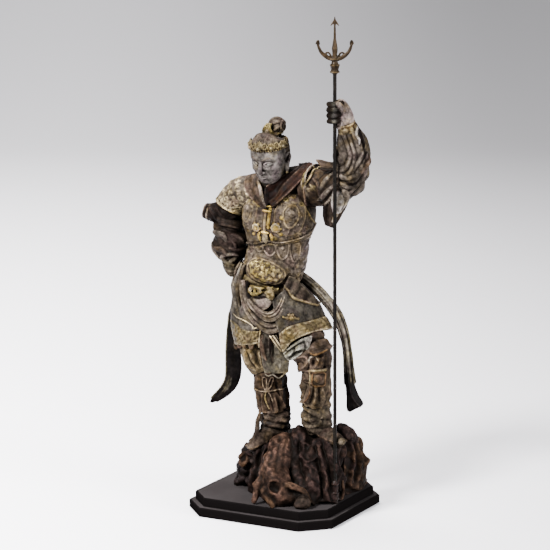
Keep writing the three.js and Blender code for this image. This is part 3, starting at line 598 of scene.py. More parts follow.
def breast_leaves(body):
    """Low leaves that fill the breastplates round their rings, and the plates at the waist."""
    made = []
    rows = [(192, 20, 70), (188, 24, 76), (174.6, 2, 30), (170.6, -4, 66), (190.6, 104, 150),
            (186.6, 98, 112),
            (170.8, 108, 156), (154, 0, 40), (149, 0, 34), (144.5, 0, 36), (152, 124, 160), (145, 126, 160)]
    for row, (z, first, last) in enumerate(rows):
        for k, degrees in enumerate(np.arange(first, last + 1, 11)):
            turn = 50 * k + 70 * row + 25 * (-1) ** k
            paint = "armour" if (k + row) % 3 else "pale_trim"
            made += leaf_stroke(body, body.level(z), float(degrees), turn, 2.3, paint, 0.5)
    return made


def strap_and_rosettes(body):
    """The strap down the breastbone in two strips, with buckle blocks, two rosettes and a pendant."""
    level = body.level
    on = body.at_heights
    made = [
        body.cord(on([(92, 189), (91, 183), (89.5, 176), (89, 169)]), 1.0, "pale_trim", 0.3, 0.9),
        body.cord(on([(84, 187), (83.5, 180), (83, 173)]), 0.9, "bright_gold", 0.3, 0.9),
    ]
    for z in (186, 180.5, 171):
        made.append(body.cord(on([(95, z), (87, z - 0.2), (80, z)]), 0.75, "bright_gold", 1.3, 0.9))
    for degrees, z, radius in ((71, 174, 2.3), (104, 172.5, 2.0)):
        made.append(body.boss(level(z), degrees, radius + 0.3, "bright_gold", 0.55))
        made.append(body.ring(level(z), degrees, radius, radius, 0.65, "pale_gold", lift=0.8))
        made.append(body.boss(level(z), degrees, 0.9, "bright_gold", 2.0))
        spot = body.spot(level(z), degrees)
        reach = 1.15 * radius
        for k in range(6):
            a = k * TAU / 6
            made.append(body.boss(*spot(reach * math.cos(a), reach * math.sin(a)), 0.75, "bright_gold",
                                  1.2))
    made.append(body.cord(on([(88, 171), (88, 166.5), (88, 163.5)]), [1.0, 1.9, 0.6], "pale_gold", 0.9,
                          0.8))
    made.append(body.cord(on([(80, 170), (77, 167), (78, 164)]), [0.9, 0.9, 0.3], "bright_gold", 0.5))
    made.append(body.cord(on([(97, 170), (101, 168), (99, 164.5)]), [0.9, 0.9, 0.3], "bright_gold", 0.5))
    for degrees, z in ((62, 170.5), (112, 168.5), (64, 178)):
        made.append(body.boss(level(z), degrees, 1.0, "bright_gold", 0.9))
    return made


def rib_plates(body):
    """Shaped plates that hang under the rim of the breast."""
    made = []
    for middle, half in ((84, 12), (58, 12), (32, 12), (108, 11), (131, 11)):
        left, right = middle + half, middle - half
        edge = [(left, 163), (left - 1, 158.5), (middle, 155.6), (right + 1, 158.5), (right, 163)]
        made.append(body.cord(body.at_heights(edge), 0.55, "armour", 0.25))
        made.append(body.boss(body.level(160), middle, 1.25, "armour", 0.6))
        made.append(body.curl(body.level(159.8), middle, 2.3, 90, 1 if middle > 80 else -1, 0.38, "armour"))
    return made


def oval_plate(body):
    """The oval plate on the belly, with its rim, dark ground and deep gilded leaves."""
    degrees, z = BELLY
    t = body.level(z)
    made = [body.ring(t, degrees, 13.6, 7.6, 0.5, "pale_trim", lift=0.1)]
    spot = body.spot(t, degrees)
    for up, half in ((-5, 7.6), (-1.8, 11), (1.6, 11), (4.8, 8)):
        made.append(low_band(body, spot, half, up, 1.9, "tarnish", -0.4))
    for right, up, turn, size in (
        (-10.4, 0.4, 100, 2.4),
        (-8, 3, 30, 2.2),
        (-8, -3, 150, 2.2),
        (-5.4, 0.2, 60, 2.6),
        (-4, 4.6, 10, 2.0),
        (-4.2, -4, 170, 2.2),
        (-1.6, 2, 120, 2.2),
        (-1.2, -2, 40, 2.4),
        (0.4, 5.2, 0, 2.0),
        (0.6, -5, 180, 2.0),
        (2, 0.4, 90, 2.4),
        (4.4, 3.6, 150, 2.2),
        (4.4, -3.2, 30, 2.2),
        (6, 0.2, 120, 2.4),
        (8, 2.8, 160, 2.0),
        (8, -3, 20, 2.0),
        (10.4, 0, 80, 2.2),
    ):
        made += leaf_stroke(body, *spot(right, up), turn, size, "gold" if right < 5 else "border", 0.85)
    return made


def waist(body):
    """Pale bands on the left of the waist, painted as sheen, and the lacing under his left arm."""
    on = body.at_heights
    made = []
    # Flat pale bands: a painted sheen on his left side
    for z in (147, 150.5, 154, 157.5, 161):
        made.append(body.cord(on([(2, z), (18, z), (36, z)]), [1.4, 2.0, 1.3], "painted_side_sheen", -0.3, 0.3))
    side = [(34, 155), (26, 152.5), (19, 149.5), (10, 146), (-6, 143)]
    made.append(body.cord(on(side), 0.5, "armour", 0.3))
    for row in range(8):
        z = 150 + 3.2 * row
        lace = [(-34, z + 3.4), (-18, z + 1.6), (-4, z), (6, z - 0.6)]
        made.append(body.cord(on(lace), [0.8, 0.9, 0.8, 0.4], "lacing", 0.1, 0.8))
    return made


# Neck and the folded scarf that lies over both shoulders and meets at the throat

def neck_and_scarf():
    body = torso_form()
    neck = Form([[-4.5, 0, 192, 9, 9], [-4.8, -4, 200, 8, 8.4], [-4.8, -7, 206, 7.6, 8.2]], "dark_flesh")
    yoke = [
        [-24, 0.5, 190, 8, 8],
        [-16, 1, 192.5, 9, 9.5],
        [-4, 1.5, 196, 9, 10.5],
        [9, 2.5, 200, 8.5, 9.5],
        [17, 2.5, 201.5, 7, 8.5],
    ]
    made = [neck.shape(), Form(yoke, "scarf").shape()]
    throat = (-5, -14.6, 197.2)
    inner = [throat, (-1, -12, 200.2), (2.8, -9.2, 203), (8.3, -4, 206.4), (9, 2, 208.5), (5, 7, 209)]
    seam = [(-1.6, -17, 188.5), (1.8, -14, 192), (4.7, -12.2, 197.6), (9.2, -8.2, 203.6), (12.2, -3, 208),
            (10, 6, 209.6)]
    lower = [(0.6, -18, 186), (2.8, -17.2, 187.8), (5.8, -15.2, 190.8), (9.4, -12.4, 194.8),
             (15.6, -8.6, 202.4), (19.2, -4.4, 208.2), (16, 4, 210.4)]
    # The inner band is painted dark, as painted shade
    made.append(panel(inner, seam, "collar_painted_shade", thick=1.6, crease=drape(2, 0.25, 1)))
    made.append(panel(seam, lower, "scarf", thick=2.0, crease=drape(2.5, 0.25, 2), bulge=0.5))
    made.append(strand(inner[:5], [0.4, 0.5, 0.4], "scarf_rim"))
    made.append(strand(seam, [0.3, 0.4, 0.3], "scarf_rim"))
    made.append(strand(lower, [0.4, 0.55, 0.5, 0.4], "scarf_rim"))
    outer = [(-17, 5, 201), (-23, -3, 200.6), (-21.6, -9.6, 196.2), (-17, -13.2, 191.2), (-9.8, -16, 187.3),
             (-3.3, -18.2, 184.6)]
    near = [(-10, 4, 204), (-13.4, -3, 202.6), (-13, -8.6, 199), (-9.6, -12.8, 195.8), (-6.4, -16, 190.8),
            (-3, -18.2, 185.6)]
    # The band over his right shoulder is painted lighter, as painted light
    made.append(panel(outer, near, "scarf_painted_light", thick=2, crease=drape(2.5, 0.4, 3), bulge=0.6))
    made.append(strand(outer, [0.5, 0.7, 0.7, 0.5], "scarf_rim"))
    made.append(strand(near[1:], [0.6, 0.9, 1.25, 1.2, 0.6], "pale_cloth", flat=0.6))
    made.append(strand([(-4.6, -15, 197), (-3.6, -16.8, 191), (-1.9, -18, 186.2)], [1.0, 1.3, 0.8],
                       "shadow", flat=0.4))
    return made + scarf_pin(body)


def scarf_pin(body):
    """The gilded stud that pins the scarf's ends at the breastbone."""
    t, degrees = body.level(187), 80
    spot = body.spot(t, degrees)
    return [
        body.boss(t, degrees, 1.5, "pale_gold", 1.3),
        body.ring(t, degrees, 2.1, 2.1, 0.4, "shadow", lift=0.5),
        body.cord([spot(0, 1.8), spot(0.8, 5.5)], [1.0, 0.6], "scarf_rim", 0.6),
        body.cord([spot(0.6, -1.8), spot(1.2, -4)], [0.8, 0.4], "scarf_rim", 0.4),
    ]


# Head, modelled upright about its own middle, then bowed and set on the neck

HEAD_SPOT = (-4.6, -10, 213)
HEAD_BOW = math.radians(13)


def on_neck(shapes):
    """The head's shapes, bowed and moved to its place."""
    c, s = math.cos(HEAD_BOW), math.sin(HEAD_BOW)
    for shape in shapes:
        x, y, z = shape.vertices.T
        shape.vertices = np.stack([x, y * c - z * s, y * s + z * c], 1) + HEAD_SPOT
    return shapes


SKULL = [
    [0, -6.5, -13.4, 2.6, 2.2],
    [0, -4.6, -11, 6.2, 6.4],
    [0, -2, -6, 9, 9.8],
    [0, -0.8, 0, 10.2, 11.4],
    [0, 0, 6, 10.6, 12],
    [0, 0.5, 11, 8.8, 10],
    [0, 1, 14.2, 3, 4],
]
EYE = (4.2, 1.0)


def face_carve(t, degrees, p):
    """Sockets, brows, cheeks, mouth and chin in calm, even proportions."""
    x = np.abs(p[:, 0])
    z = p[:, 2]
    front = rise(-p[:, 1], 2, 7)
    socket = -1.5 * bell(x - EYE[0], 2.9) * bell(z - EYE[1], 1.9)
    brow = 0.8 * bell(x - 3.6, 4) * bell(z - 4.1 + 0.03 * (x - 3.6) ** 2, 1.2)
    cheek = 0.9 * bell(x - 5.6, 2.6) * bell(z + 3.4, 2.6)
    mouth = 0.7 * bell(x, 4) * bell(z + 7, 2.4) - 0.8 * bell(x, 3) * bell(z + 9.4, 0.8)
    chin = 1.1 * bell(x, 2.8) * bell(z + 11.4, 1.7)
    groove = -0.45 * bell(x - 3.4 - 0.35 * (-4 - z), 0.7) * bell(z + 6, 2.6)
    return front * (socket + brow + cheek + mouth + chin + groove)


def face(skull):
    """Lidded eyes, brows, nose, lips and long-lobed ears."""
    made = []
    depth = lambda x, z: skull_front(skull, x, z)
    for side in (-1, 1):
        x, z = side * EYE[0], EYE[1]
        y = depth(x, z)
        made.append(ball((x, y + 0.75, z - 0.05), (2.0, 1.4, 1.15), "eye"))
        lid = [(x + side * u, depth(x + side * u, z) - 0.35 + 0.1 * abs(u), z + v) for u, v in
               ((-2.4, -0.3), (-1.4, 0.55), (0, 0.95), (1.5, 0.6), (2.6, -0.1))]
        made.append(strand(lid, [0.3, 0.5, 0.55, 0.5, 0.3], "flesh", step=0.3))
        under = [(x + side * u, depth(x + side * u, z) - 0.2 + 0.1 * abs(u), z + v) for u, v in
                 ((-2.2, -0.4), (-0.8, -1.05), (0.8, -1.1), (2.3, -0.3))]
        made.append(strand(under, [0.25, 0.4, 0.4, 0.25], "flesh", step=0.3))
        brow = [(side * u, depth(side * u, v) - 0.1, v) for u,
                v in ((1.5, 3.5), (3.2, 4.5), (5.2, 4.9), (7.4, 3.9))]
        made.append(strand(brow, [0.4, 0.75, 0.65, 0.25], "hair", step=0.3))
        made.append(ball((side * 1.55, -12.35, -4.0), (1.05, 1.1, 0.85), "flesh"))
        made += ear(side)
    nose = [[0, -10.6, 4.2, 1.3, 0.9], [0, -12.0, 1.2, 1.0, 1.1], [0, -13.2, -1.8, 1.25, 1.35],
            [0, -13.4, -3.6, 1.6, 1.4],
            [0, -12.2, -4.6, 1.3, 0.8]]
    made.append(Form(nose, "flesh", caps=(0.1, 0.15), step=0.25).shape())
    lip_y = depth(0, -7) - 0.1
    upper = [(-3.1, lip_y + 1.3, -6.9), (-1.6, lip_y + 0.2, -6.45), (-0.5, lip_y - 0.15, -6.3),
             (0, lip_y - 0.1, -6.5)]
    upper += [(-x, y, z) for x, y, z in upper[-2::-1]]
    made.append(strand(upper, [0.25, 0.5, 0.6, 0.55, 0.6, 0.5, 0.25], "flesh", step=0.3))
    lower = [(-2.7, lip_y + 1.1, -7.15), (-1.3, lip_y + 0.1, -7.6), (0, lip_y - 0.15, -7.75),
             (1.3, lip_y + 0.1, -7.6),
             (2.7, lip_y + 1.1, -7.15)]
    made.append(strand(lower, [0.25, 0.6, 0.75, 0.6, 0.25], "flesh", step=0.3))
    return made


def skull_front(skull, x, z):
    """How far forward the skull's surface is at a place on the face."""
    degrees = np.linspace(20, 160, 141)
    at = skull.surface(np.full(141, skull.level(z)), degrees)
    return float(np.interp(-x, -at[:, 0], at[:, 1]))


def ear(side):
    """A long-lobed ear with a bead in its lobe."""
    rim = [(side * 10.2, -0.6, 0.5), (side * 11.2, 0.6, 3.4), (side * 11.7, 2.4, 3.6),
           (side * 11.8, 3.2, 1.2),
           (side * 11.2, 1.8, -2.0), (side * 10.7, 0.6, -5.4), (side * 10.3, -0.2, -7.2)]
    lobe = [(side * 10.2, 0.6, -1.5), (side * 10.3, 0.4, -4), (side * 10.1, 0, -7)]
    return [
        strand(rim, [0.5, 0.8, 0.85, 0.8, 0.8, 1.0, 0.7], "flesh", out=(side, 0, 0), step=0.35),
        strand(lobe, [0.9, 1.2, 0.9], "flesh", out=(side, 0, 0), flat=0.6, step=0.35),
        ball((side * 10.3, 1.2, 0.8), (0.8, 1.6, 2.2), "shadow"),
        ball((side * 10.4, 0.1, -7.4), (0.9, 0.9, 0.9), "pale_gold"),
    ]


def diadem():
    """A gilded band round the brow with a leaf at its front and sides and scrolls between."""
    ring = []
    for a in np.linspace(0, 360, 25):
        c, s = math.cos(math.radians(a)), math.sin(math.radians(a))
        ring.append([10.4 * c, 0.3 - 11.7 * s, 9.5 + 1.0 * s, 0.8, 1.6])
    band = Form(ring, "tarnish", front=UP, step=0.3)
    made = [band.shape()]
    for a in np.arange(0, 360, 7.5):
        c, s = math.cos(math.radians(a)), math.sin(math.radians(a))
        made.append(ball((11.2 * c, 0.3 - 12.5 * s, 8.2 + 1.0 * s), (0.5, 0.5, 0.45), "border", sides=10))
    front = [(90, 5.2, 2.6), (52, 4, 2.2), (128, 4, 2.2)]
    sides = [(14, 4.4, 2.2), (166, 4.4, 2.2), (-60, 3, 1.8), (-120, 3, 1.8)]
    for a, tall, wide in front + sides:
        made += leaf(a, tall, wide)
    for a in (71, 33, 109, 147, -8, 188, -34, 214):
        made += brow_scroll(a)
    return made


def brow_point(a, z, out):
    """A place on the diadem at a clock angle, with a height above its middle and a distance outside it."""
    lean = 1 - 0.05 * max(z, 0)
    c, s = math.cos(math.radians(a)), math.sin(math.radians(a))
    return np.array([(10.5 * lean + out) * c, 0.3 - (11.9 * lean + out) * s + 0.25 * max(z, 0),
                     9.6 + 1.0 * s + z])


# Degrees round the brow to a millimetre
BROW_TURN = math.degrees(1 / 12)


def brow_outward(a):
    return (math.cos(math.radians(a)), -math.sin(math.radians(a)), 0.2)


def leaf(a, tall, wide):
    """A leaf of five ribs that stands up from the diadem, with a bead at its foot."""
    made = []
    for spread, height, thick in ((-1, 0.72, 0.7), (1, 0.72, 0.7), (-0.5, 0.9, 0.75), (0.5, 0.9, 0.75),
                                  (0, 1, 0.9)):
        path = [brow_point(a + BROW_TURN * wide * spread * bow, tall * height * share - 0.8,
                           0.9 + 0.7 * share)
                for share, bow in ((0, 0.15), (0.4, 0.8), (0.75, 1.0), (1, 0.75))]
        made.append(strand(path, [0.7 * thick, thick, 0.8 * thick, 0.25], "border", flat=0.8,
                           out=brow_outward(a), step=0.3))
    made.append(ball(brow_point(a, 0.2, 1.4), (0.95, 0.95, 0.95), "pale_gold", sides=14))
    return made


def brow_scroll(a):
    """A scroll that lies on the diadem."""
    path = []
    for share in np.linspace(0, 1, 10):
        reach = 1.9 * (1 - 0.75 * share)
        spin = 1.3 * TAU * share
        path.append(brow_point(a + BROW_TURN * reach * math.cos(spin), 0.9 + reach * math.sin(spin), 0.8))
    return [strand(path, [0.3, 0.5, 0.5, 0.6], "border", out=brow_outward(a), step=0.3)]


KNOT = np.array([1.6, 9.5, 17.4])


def round_knot(aside, reach, a):
    """A place about the knot's middle: aside towards his left, and reach from that line at an angle."""
    return KNOT + (aside, reach * math.cos(a), reach * math.sin(a))


def topknot():
    """A coiled knot of hair with a gilded tie before it."""
    made = [ball(KNOT, (4.7, 4.7, 4.9), "hair"), ball((1, 6, 13.6), (3.6, 3.8, 2.4), "hair")]
    for k in range(7):
        lean = TAU * k / 7
        coil = []
        for share in np.linspace(0, 1, 9):
            across = math.pi * (0.12 + 0.76 * share)
            height = 5.0 * math.cos(across)
            coil.append(round_knot(height * 0.92, 5.0 * math.sin(across), lean + 1.5 * share))
        made.append(strand(coil, [0.5, 0.95, 1.0, 0.9, 0.5], "hair", step=0.35))
    swirl = []
    for share in np.linspace(0, 1, 14):
        swirl.append(round_knot(4.0 + 0.8 * share, 3.6 * (1 - 0.8 * share), 1.6 * TAU * share))
    made.append(strand(swirl, [0.7, 0.8, 0.7, 0.5], "hair", out=(1, 0, 0), step=0.3))
    for spread in (-1.1, 0, 1.1):
        tie = [(-0.6 + 2 * spread, 5.5, 13.2), (-0.9 + 2.2 * spread, 2.4, 15.8),
               (-0.8 + 1.4 * spread, 2.2, 18.6),
               (0.2 + spread, 4.2, 21)]
        made.append(strand(tie, [0.8, 1.2, 1.1, 0.5], "gold", step=0.3))
    made.append(ball((-0.8, 1.6, 16.6), (1.5, 1.2, 1.5), "pale_gold"))
    made.append(strand([(-3.4, 7.5, 14), (0.5, 3.8, 13.9), (4.6, 6.5, 14), (4, 10, 14), (-2, 10.5, 14),
                        (-3.4, 7.5, 14)],
                       0.8, "gold", out=UP))
    return made


def head():
    """Skull with combed hair, face, diadem and topknot."""
    skull = Form(SKULL, "flesh", carve=face_carve, caps=(0.06, 0.1), step=0.25)
    cap = [[0, 0.5, 8.4, 10.6, 12], [0, 0.7, 10.4, 10.0, 11.4], [0, 1.4, 12.8, 7.8, 9],
           [0.4, 2.6, 15, 3.4, 4.2]]
    comb = lambda t, d, p: 0.14 * pleat(np.radians(d) * 34) * rise(t, 0, 0.2)
    nape = [[0, 2.8, 10, 9.8, 9.4], [0, 3.4, 6, 10.7, 9.4], [0, 3.8, 0, 10.4, 8.6], [0, 3.4, -6, 8.8, 7.2],
            [0, 3, -10, 6.4, 5.6]]
    locks = lambda t, d, p: 0.35 * pleat(np.radians(d) * 26 + 1.2 * np.sin(4 * t))
    made = [
        skull.shape(),
        Form(cap, "hair", carve=comb, caps=(0, 0.25), step=0.25).shape(),
        Form(nape, "hair", carve=locks, caps=(0, 0.2), step=0.25).shape(),
    ]
    made += face(skull) + diadem() + topknot()
    return on_neck(made)


# Arms: the right hand is on the hip under a flared half sleeve, and the left is raised to the trident

def cloth(across, spacing, depth, seed=0, warp=1.6, start=0.12):
    """Carves a form with folds that fade out towards its first end."""
    return lambda t, degrees, p: depth * drapery(p, across, spacing, seed, warp) * rise(t, 0, start)


def leaf_stroke(form, t, degrees, turn, size, paint, radius=0.6):
    """A carved leaf: a bent vein with a shorter lobe on either side."""
    spot = form.spot(t, degrees)
    c, s = math.cos(math.radians(turn)), math.sin(math.radians(turn))
    at = lambda along, aside: spot(along * c - aside * s, along * s + aside * c)
    vein = [at(-size, 0), at(0, 0.15 * size), at(size, -0.1 * size)]
    made = [form.cord(vein, [0.5 * radius, 1.2 * radius, 0.4 * radius], paint, 0.1)]
    for hand in (-1, 1):
        lobe = [at(-0.5 * size, 0), at(0.1 * size, 0.45 * hand * size), at(0.55 * size, 0.4 * hand * size)]
        made.append(form.cord(lobe, [0.4 * radius, 0.9 * radius, 0.5 * radius], paint, 0.0))
    return made


def right_guard():
    """The right shoulder guard, covered with leaves and scrolls, with a beaded lip."""
    rows = [
        [-16, 1, 190.5, 10.5, 11],
        [-25, -0.5, 189.5, 11, 11.5],
        [-32, -1.5, 185.5, 10, 10.5],
        [-34.4, -1.5, 181.6, 9.4, 10.1],
    ]
    lip = lambda t, d, p: 0.8 * rise(t, 0.86, 0.9) + 0.3 * wander(p, 6) + 0.2 * wander(p, 3, 2)
    guard = Form(rows, "armour", carve=lip, hollow=0.12, wall=1.4, step=0.35)
    made = [guard.shape()]
    for line, t in enumerate((0.2, 0.37, 0.53, 0.68, 0.8)):
        for k in range(9):
            degrees = 6 + 21 * k + 10 * (line % 2)
            hand = 1 if (k + line) % 2 else -1
            if (k + 2 * line) % 3 == 0:
                made.append(guard.curl(t, degrees, 2.1, 57 * k + 90 * line, hand, 0.55, "pale_gold"))
            else:
                made += leaf_stroke(guard, t, degrees, 80 + 35 * hand, 2.2, "pale_gold")
    for degrees in range(20, 200, 8):
        made.append(guard.boss(0.95, degrees, 0.65, "pale_gold", 0.9, 12))
    made.append(guard.hoop(0.87, 0.4, "pale_gold", turns=range(0, 220, 20)))
    made.append(guard.hoop(0.99, 0.5, "gold", turns=range(0, 220, 20)))
    return made


def right_sleeve():
    """The short flared sleeve, with folds, a hem and an opening painted dark as shade inside."""
    sleeve_rows = [
        [-32, -0.5, 184, 9, 9.5],
        [-37, -1, 180, 8.4, 9.4],
        [-42, -1.8, 177.2, 7, 7.2],
        [-47.5, -2.4, 176.2, 5.6, 5.6],
        [-52.4, -3, 177, 4.2, 4.3],
    ]
    folds = cloth((0.1, -0.3, 0.9), 6.5, 0.9, 1)
    sleeve = Form(sleeve_rows, "deep_sleeve", carve=folds, hollow=0.42, wall=1.0, step=0.33)
    opening = smooth_rows(sleeve.rows, [0.75])[0]
    made = [
        sleeve.shape(),
        sleeve.hoop(0.985, 0.55, "scarf_rim"),
        sleeve.hoop(0.9, [0.35, 0.5, 0.35], "shadow", 0.1),
        sleeve.hoop(0.84, [0.3, 0.6, 0.3], "sleeve", 0.2),
        ball(opening[:3], (4.4, 3.6, 3.6), "shadow"),
    ]
    for path, radii in (
        ([(-39.5, -12.2, 181.2), (-34.3, -9.4, 175.4), (-27.4, -5.7, 177.6)], [0.6, 1.3, 1.2, 0.5]),
        ([(-46, -12, 182), (-41, -12, 177), (-38.5, -12, 171)], [0.5, 1.2, 1.0, 0.4]),
        ([(-44, -12, 175), (-40.5, -12, 170)], [0.4, 0.9, 0.5]),
        ([(-36.5, -10, 184), (-31.6, -9, 180.4), (-27, -6, 181)], [0.5, 1.1, 0.5]),
    ):
        made.append(sleeve.laid(path, radii, "deep_sleeve", 0.1, 0.9))
    return made


def right_forearm():
    """The gathered sleeve of the right forearm, with its larger folds and the gaps between them painted dark
    as shade.
    """
    forearm_rows = [
        [-35, 0.5, 179, 8, 9],
        [-36.6, 0, 170, 9, 9.4],
        [-36.2, -1.2, 164, 9.8, 9.6],
        [-35, -3, 158.5, 10.8, 10.2],
        [-33.6, -5, 153.5, 9.4, 9],
        [-32.6, -7.5, 149, 6, 6.2],
    ]
    folds = cloth((0.25, -0.1, 0.95), 8.5, 1.5, 4, 2.2)
    forearm = Form(forearm_rows, "dark_sleeve", carve=folds, caps=(0, 0.08), step=0.33)
    made = [forearm.shape()]
    for path, radii, paint in (
        ([(-39, -12, 171.4), (-32.2, -8.2, 170.2), (-25.8, -4.8, 166.4)], [0.5, 1.0, 0.9, 0.4],
         "dark_sleeve"),
        ([(-41.5, -13, 167), (-36.9, -10.8, 165), (-33.9, -9.1, 160.5)], [0.8, 2.0, 1.7, 0.7], "sleeve"),
        ([(-31.7, -9.1, 165.4), (-26.9, -6.5, 163.4), (-24.8, -5.4, 159)], [0.7, 1.5, 1.3, 0.5],
         "dark_sleeve"),
        ([(-41.6, -13, 158), (-37.2, -10.8, 155.6), (-33.6, -8.8, 151.3)], [0.8, 1.9, 1.6, 0.6],
         "dark_sleeve"),
        ([(-33.2, -9.9, 157), (-28, -7.1, 155.8), (-23.8, -4.6, 157)], [0.5, 1.4, 1.2, 0.5], "dark_sleeve"),
        ([(-36.4, -11.6, 148.4), (-32.2, -9.4, 153.2), (-26.9, -6.5, 152)], [0.5, 1.3, 0.9, 0.4], "sleeve"),
        ([(-42, -13.6, 161.5), (-40.1, -12.5, 154), (-36.9, -10.8, 148.5)], [0.6, 1.3, 1.2, 0.6], "sleeve"),
        ([(-31, -9, 161), (-29.4, -8, 158), (-30.4, -8, 154.6)], [0.5, 1.2, 0.5], "dark_sleeve"),
    ):
        made.append(forearm.laid(path, radii, paint, 0.2, 0.9))
    for path in (
        [(-38.5, -12, 169.2), (-32.2, -8.2, 167.6), (-25.8, -4.8, 164.4)],
        [(-33.4, -9.9, 155.4), (-28, -7.1, 154), (-23.4, -4.6, 155.4)],
        [(-42, -13, 156), (-38, -11, 152.6), (-34.6, -9.4, 149)],
    ):
        made.append(forearm.laid(path, [0.3, 0.7, 0.7, 0.3], "shadow", -0.1, 0.6))
    return made


def right_arm():
    return right_guard() + right_sleeve() + right_forearm() + right_hand()


def left_guard():
    """The left shoulder guard, painted darker as shade under the raised arm, with a rim that turns back twice
    and a scrolled border.
    """
    rows = [[12.5, 2.5, 196, 8.4, 9.2], [16, 2, 197, 10.8, 11.2], [21, 1.5, 198, 11.4, 12]]
    turned_back = lambda t, d, p: 0.6 * rise(t, 0.7, 0.76) + 0.25 * wander(p, 6)
    guard = Form(rows, "shaded_guard", carve=turned_back, hollow=0.2, wall=1.2, step=0.35)
    made = [guard.shape()]
    made.append(guard.hoop(0.95, 0.7, "armour", turns=range(30, 330, 20)))
    made.append(guard.hoop(0.66, 0.45, "pale_gold", turns=range(30, 330, 20)))
    for k in range(9):
        made.append(guard.curl(0.8, 44 + 17 * k, 1.6, 80 * k, 1 if k % 2 else -1, 0.42, "gold"))
    return made


def left_upper_arm():
    """The sleeve over the left upper arm, with its folds, a zigzag hem and two leaves."""
    upper_rows = [
        [14, 2, 196, 11, 11.5],
        [23, 1.2, 197, 11, 11.5],
        [32, -0.5, 198.5, 10.6, 11],
        [40, -1.6, 200.5, 9.4, 10.4],
        [45, -1.8, 203, 7.6, 8.6],
    ]
    upper = Form(upper_rows, "upper_sleeve", carve=cloth((0.75, 0, -0.65), 9, 1.3, 2, 2.0, 0.2), step=0.35)
    made = [upper.shape()]
    for path, radii, paint in (
        ([(29.4, -11.4, 197.4), (32.5, -9.8, 203.4), (37.1, -7.3, 208.3)], [0.6, 1.5, 1.3, 0.5], "sleeve"),
        ([(28.4, -12, 191.3), (33, -9.5, 196.1), (37.7, -7, 201)], [0.6, 1.6, 1.4, 0.5], "sleeve"),
        ([(31, -10.6, 188.9), (35.1, -8.4, 193.2), (38.7, -6.4, 197)], [0.5, 1.3, 1.2, 0.5], "pale_cloth"),
        ([(24.6, -12, 204), (27.5, -9, 198), (29, -9, 190)], [0.5, 1.2, 1.0, 0.4], "dark_sleeve"),
        ([(41.1, -7.4, 199.4), (43.6, -5.7, 195), (42.2, -6.8, 190.4)], [0.8, 2.0, 1.8, 0.9], "pale_cloth"),
    ):
        made.append(upper.laid(path, radii, paint, 0.2, 0.9))
    for path in ([(20.8, -12.7, 200.4), (23.9, -11, 205.3), (28, -8.8, 210.1), (33.7, -5.7, 210.9)],
                 [(18.6, -12, 204.5), (21.5, -10, 207.6), (24.5, -8, 209.8)]):
        made.append(upper.laid(path, [0.5, 0.7, 0.6, 0.4], "border", 0.9))
    edge = [(19.3, -12.3, 199), (19.6, -12, 193), (21.4, -11.2, 188.1), (25, -9.3, 182)]
    made.append(upper.laid(edge, [0.4, 0.7, 0.6, 0.3], "scarf_rim", 0.7))
    made.append(upper.laid([(20.8, -12, 196), (22.2, -11.2, 189), (25.8, -9.3, 184)], [0.6, 1.3, 0.6],
                           "shadow", 0.0, 0.5))
    spot = upper.seen([(24.4, -11.8, 198.2)])[0]
    made += leaf_stroke(upper, *spot, 40, 2.6, "border", 0.6)
    made += leaf_stroke(upper, *upper.spot(*spot)(1.2, -3.4), 120, 2.0, "pale_trim", 0.5)
    return made


def hanging_sleeve():
    """The end of the sleeve that hangs from the elbow."""
    hanging_rows = [
        [35.5, -2, 193, 7.6, 7],
        [35.3, -3, 187.5, 6.4, 5.6],
        [34.4, -4, 182.5, 4.6, 4.2],
        [33.8, -4.6, 178, 3.4, 3],
        [33, -5, 174.8, 2.2, 2],
    ]
    folds = cloth((0.9, 0.4, 0), 4.5, 0.6, 3)
    hanging = Form(hanging_rows, "dark_sleeve", carve=folds, hollow=0.25, wall=0.9, step=0.3)
    dark = [(33, -12, 190), (32, -11.6, 183), (32.4, -11.9, 176.5)]
    pale = [(37.6, -9.4, 189), (38.4, -9.1, 183.4), (36.8, -9.9, 178.4)]
    return [
        hanging.shape(),
        hanging.laid(dark, [1.2, 1.9, 1.0], "shadow", 0.3),
        hanging.laid(pale, [0.9, 1.5, 0.6], "pale_cloth", 0.3),
    ]


def elbow_cloths():
    """The pale cloth at the left elbow, and the folded edge that lies over the shoulder."""
    near = [(38.8, -13.2, 197.6), (38.3, -13.5, 189.9), (38.9, -12, 184.4)]
    far = [(47, -5, 197.1), (45.5, -5.8, 191.2), (41.3, -9.1, 184.8)]
    made = [panel(near, far, "elbow_cloth", thick=2.5, crease=drape(3, 0.6, 7), bulge=1.5)]
    top = [(39, -4, 213.6), (33, -6.5, 213.8), (28.5, -8, 214.8), (25, -7.4, 214.8)]
    low = [(39, -7, 209.6), (33, -9.4, 209.4), (28.6, -9.8, 211.2), (24.6, -8, 213.8)]
    # The folded edge's upward face is painted lighter, as painted light
    made.append(panel(top, low, "scarf_painted_light", out=(0.2, -0.7, 0.7), thick=1.2, crease=drape(2.4, 0.3, 4),
                      bulge=0.5))
    made.append(strand([(38, -9.4, 209.6), (32, -10.6, 209.2), (26.9, -10.8, 210.8)], [0.5, 0.8, 0.4],
                       "shadow"))
    return made


FOLD_CENTRE = np.array([42.5, -13.5, 219.5])


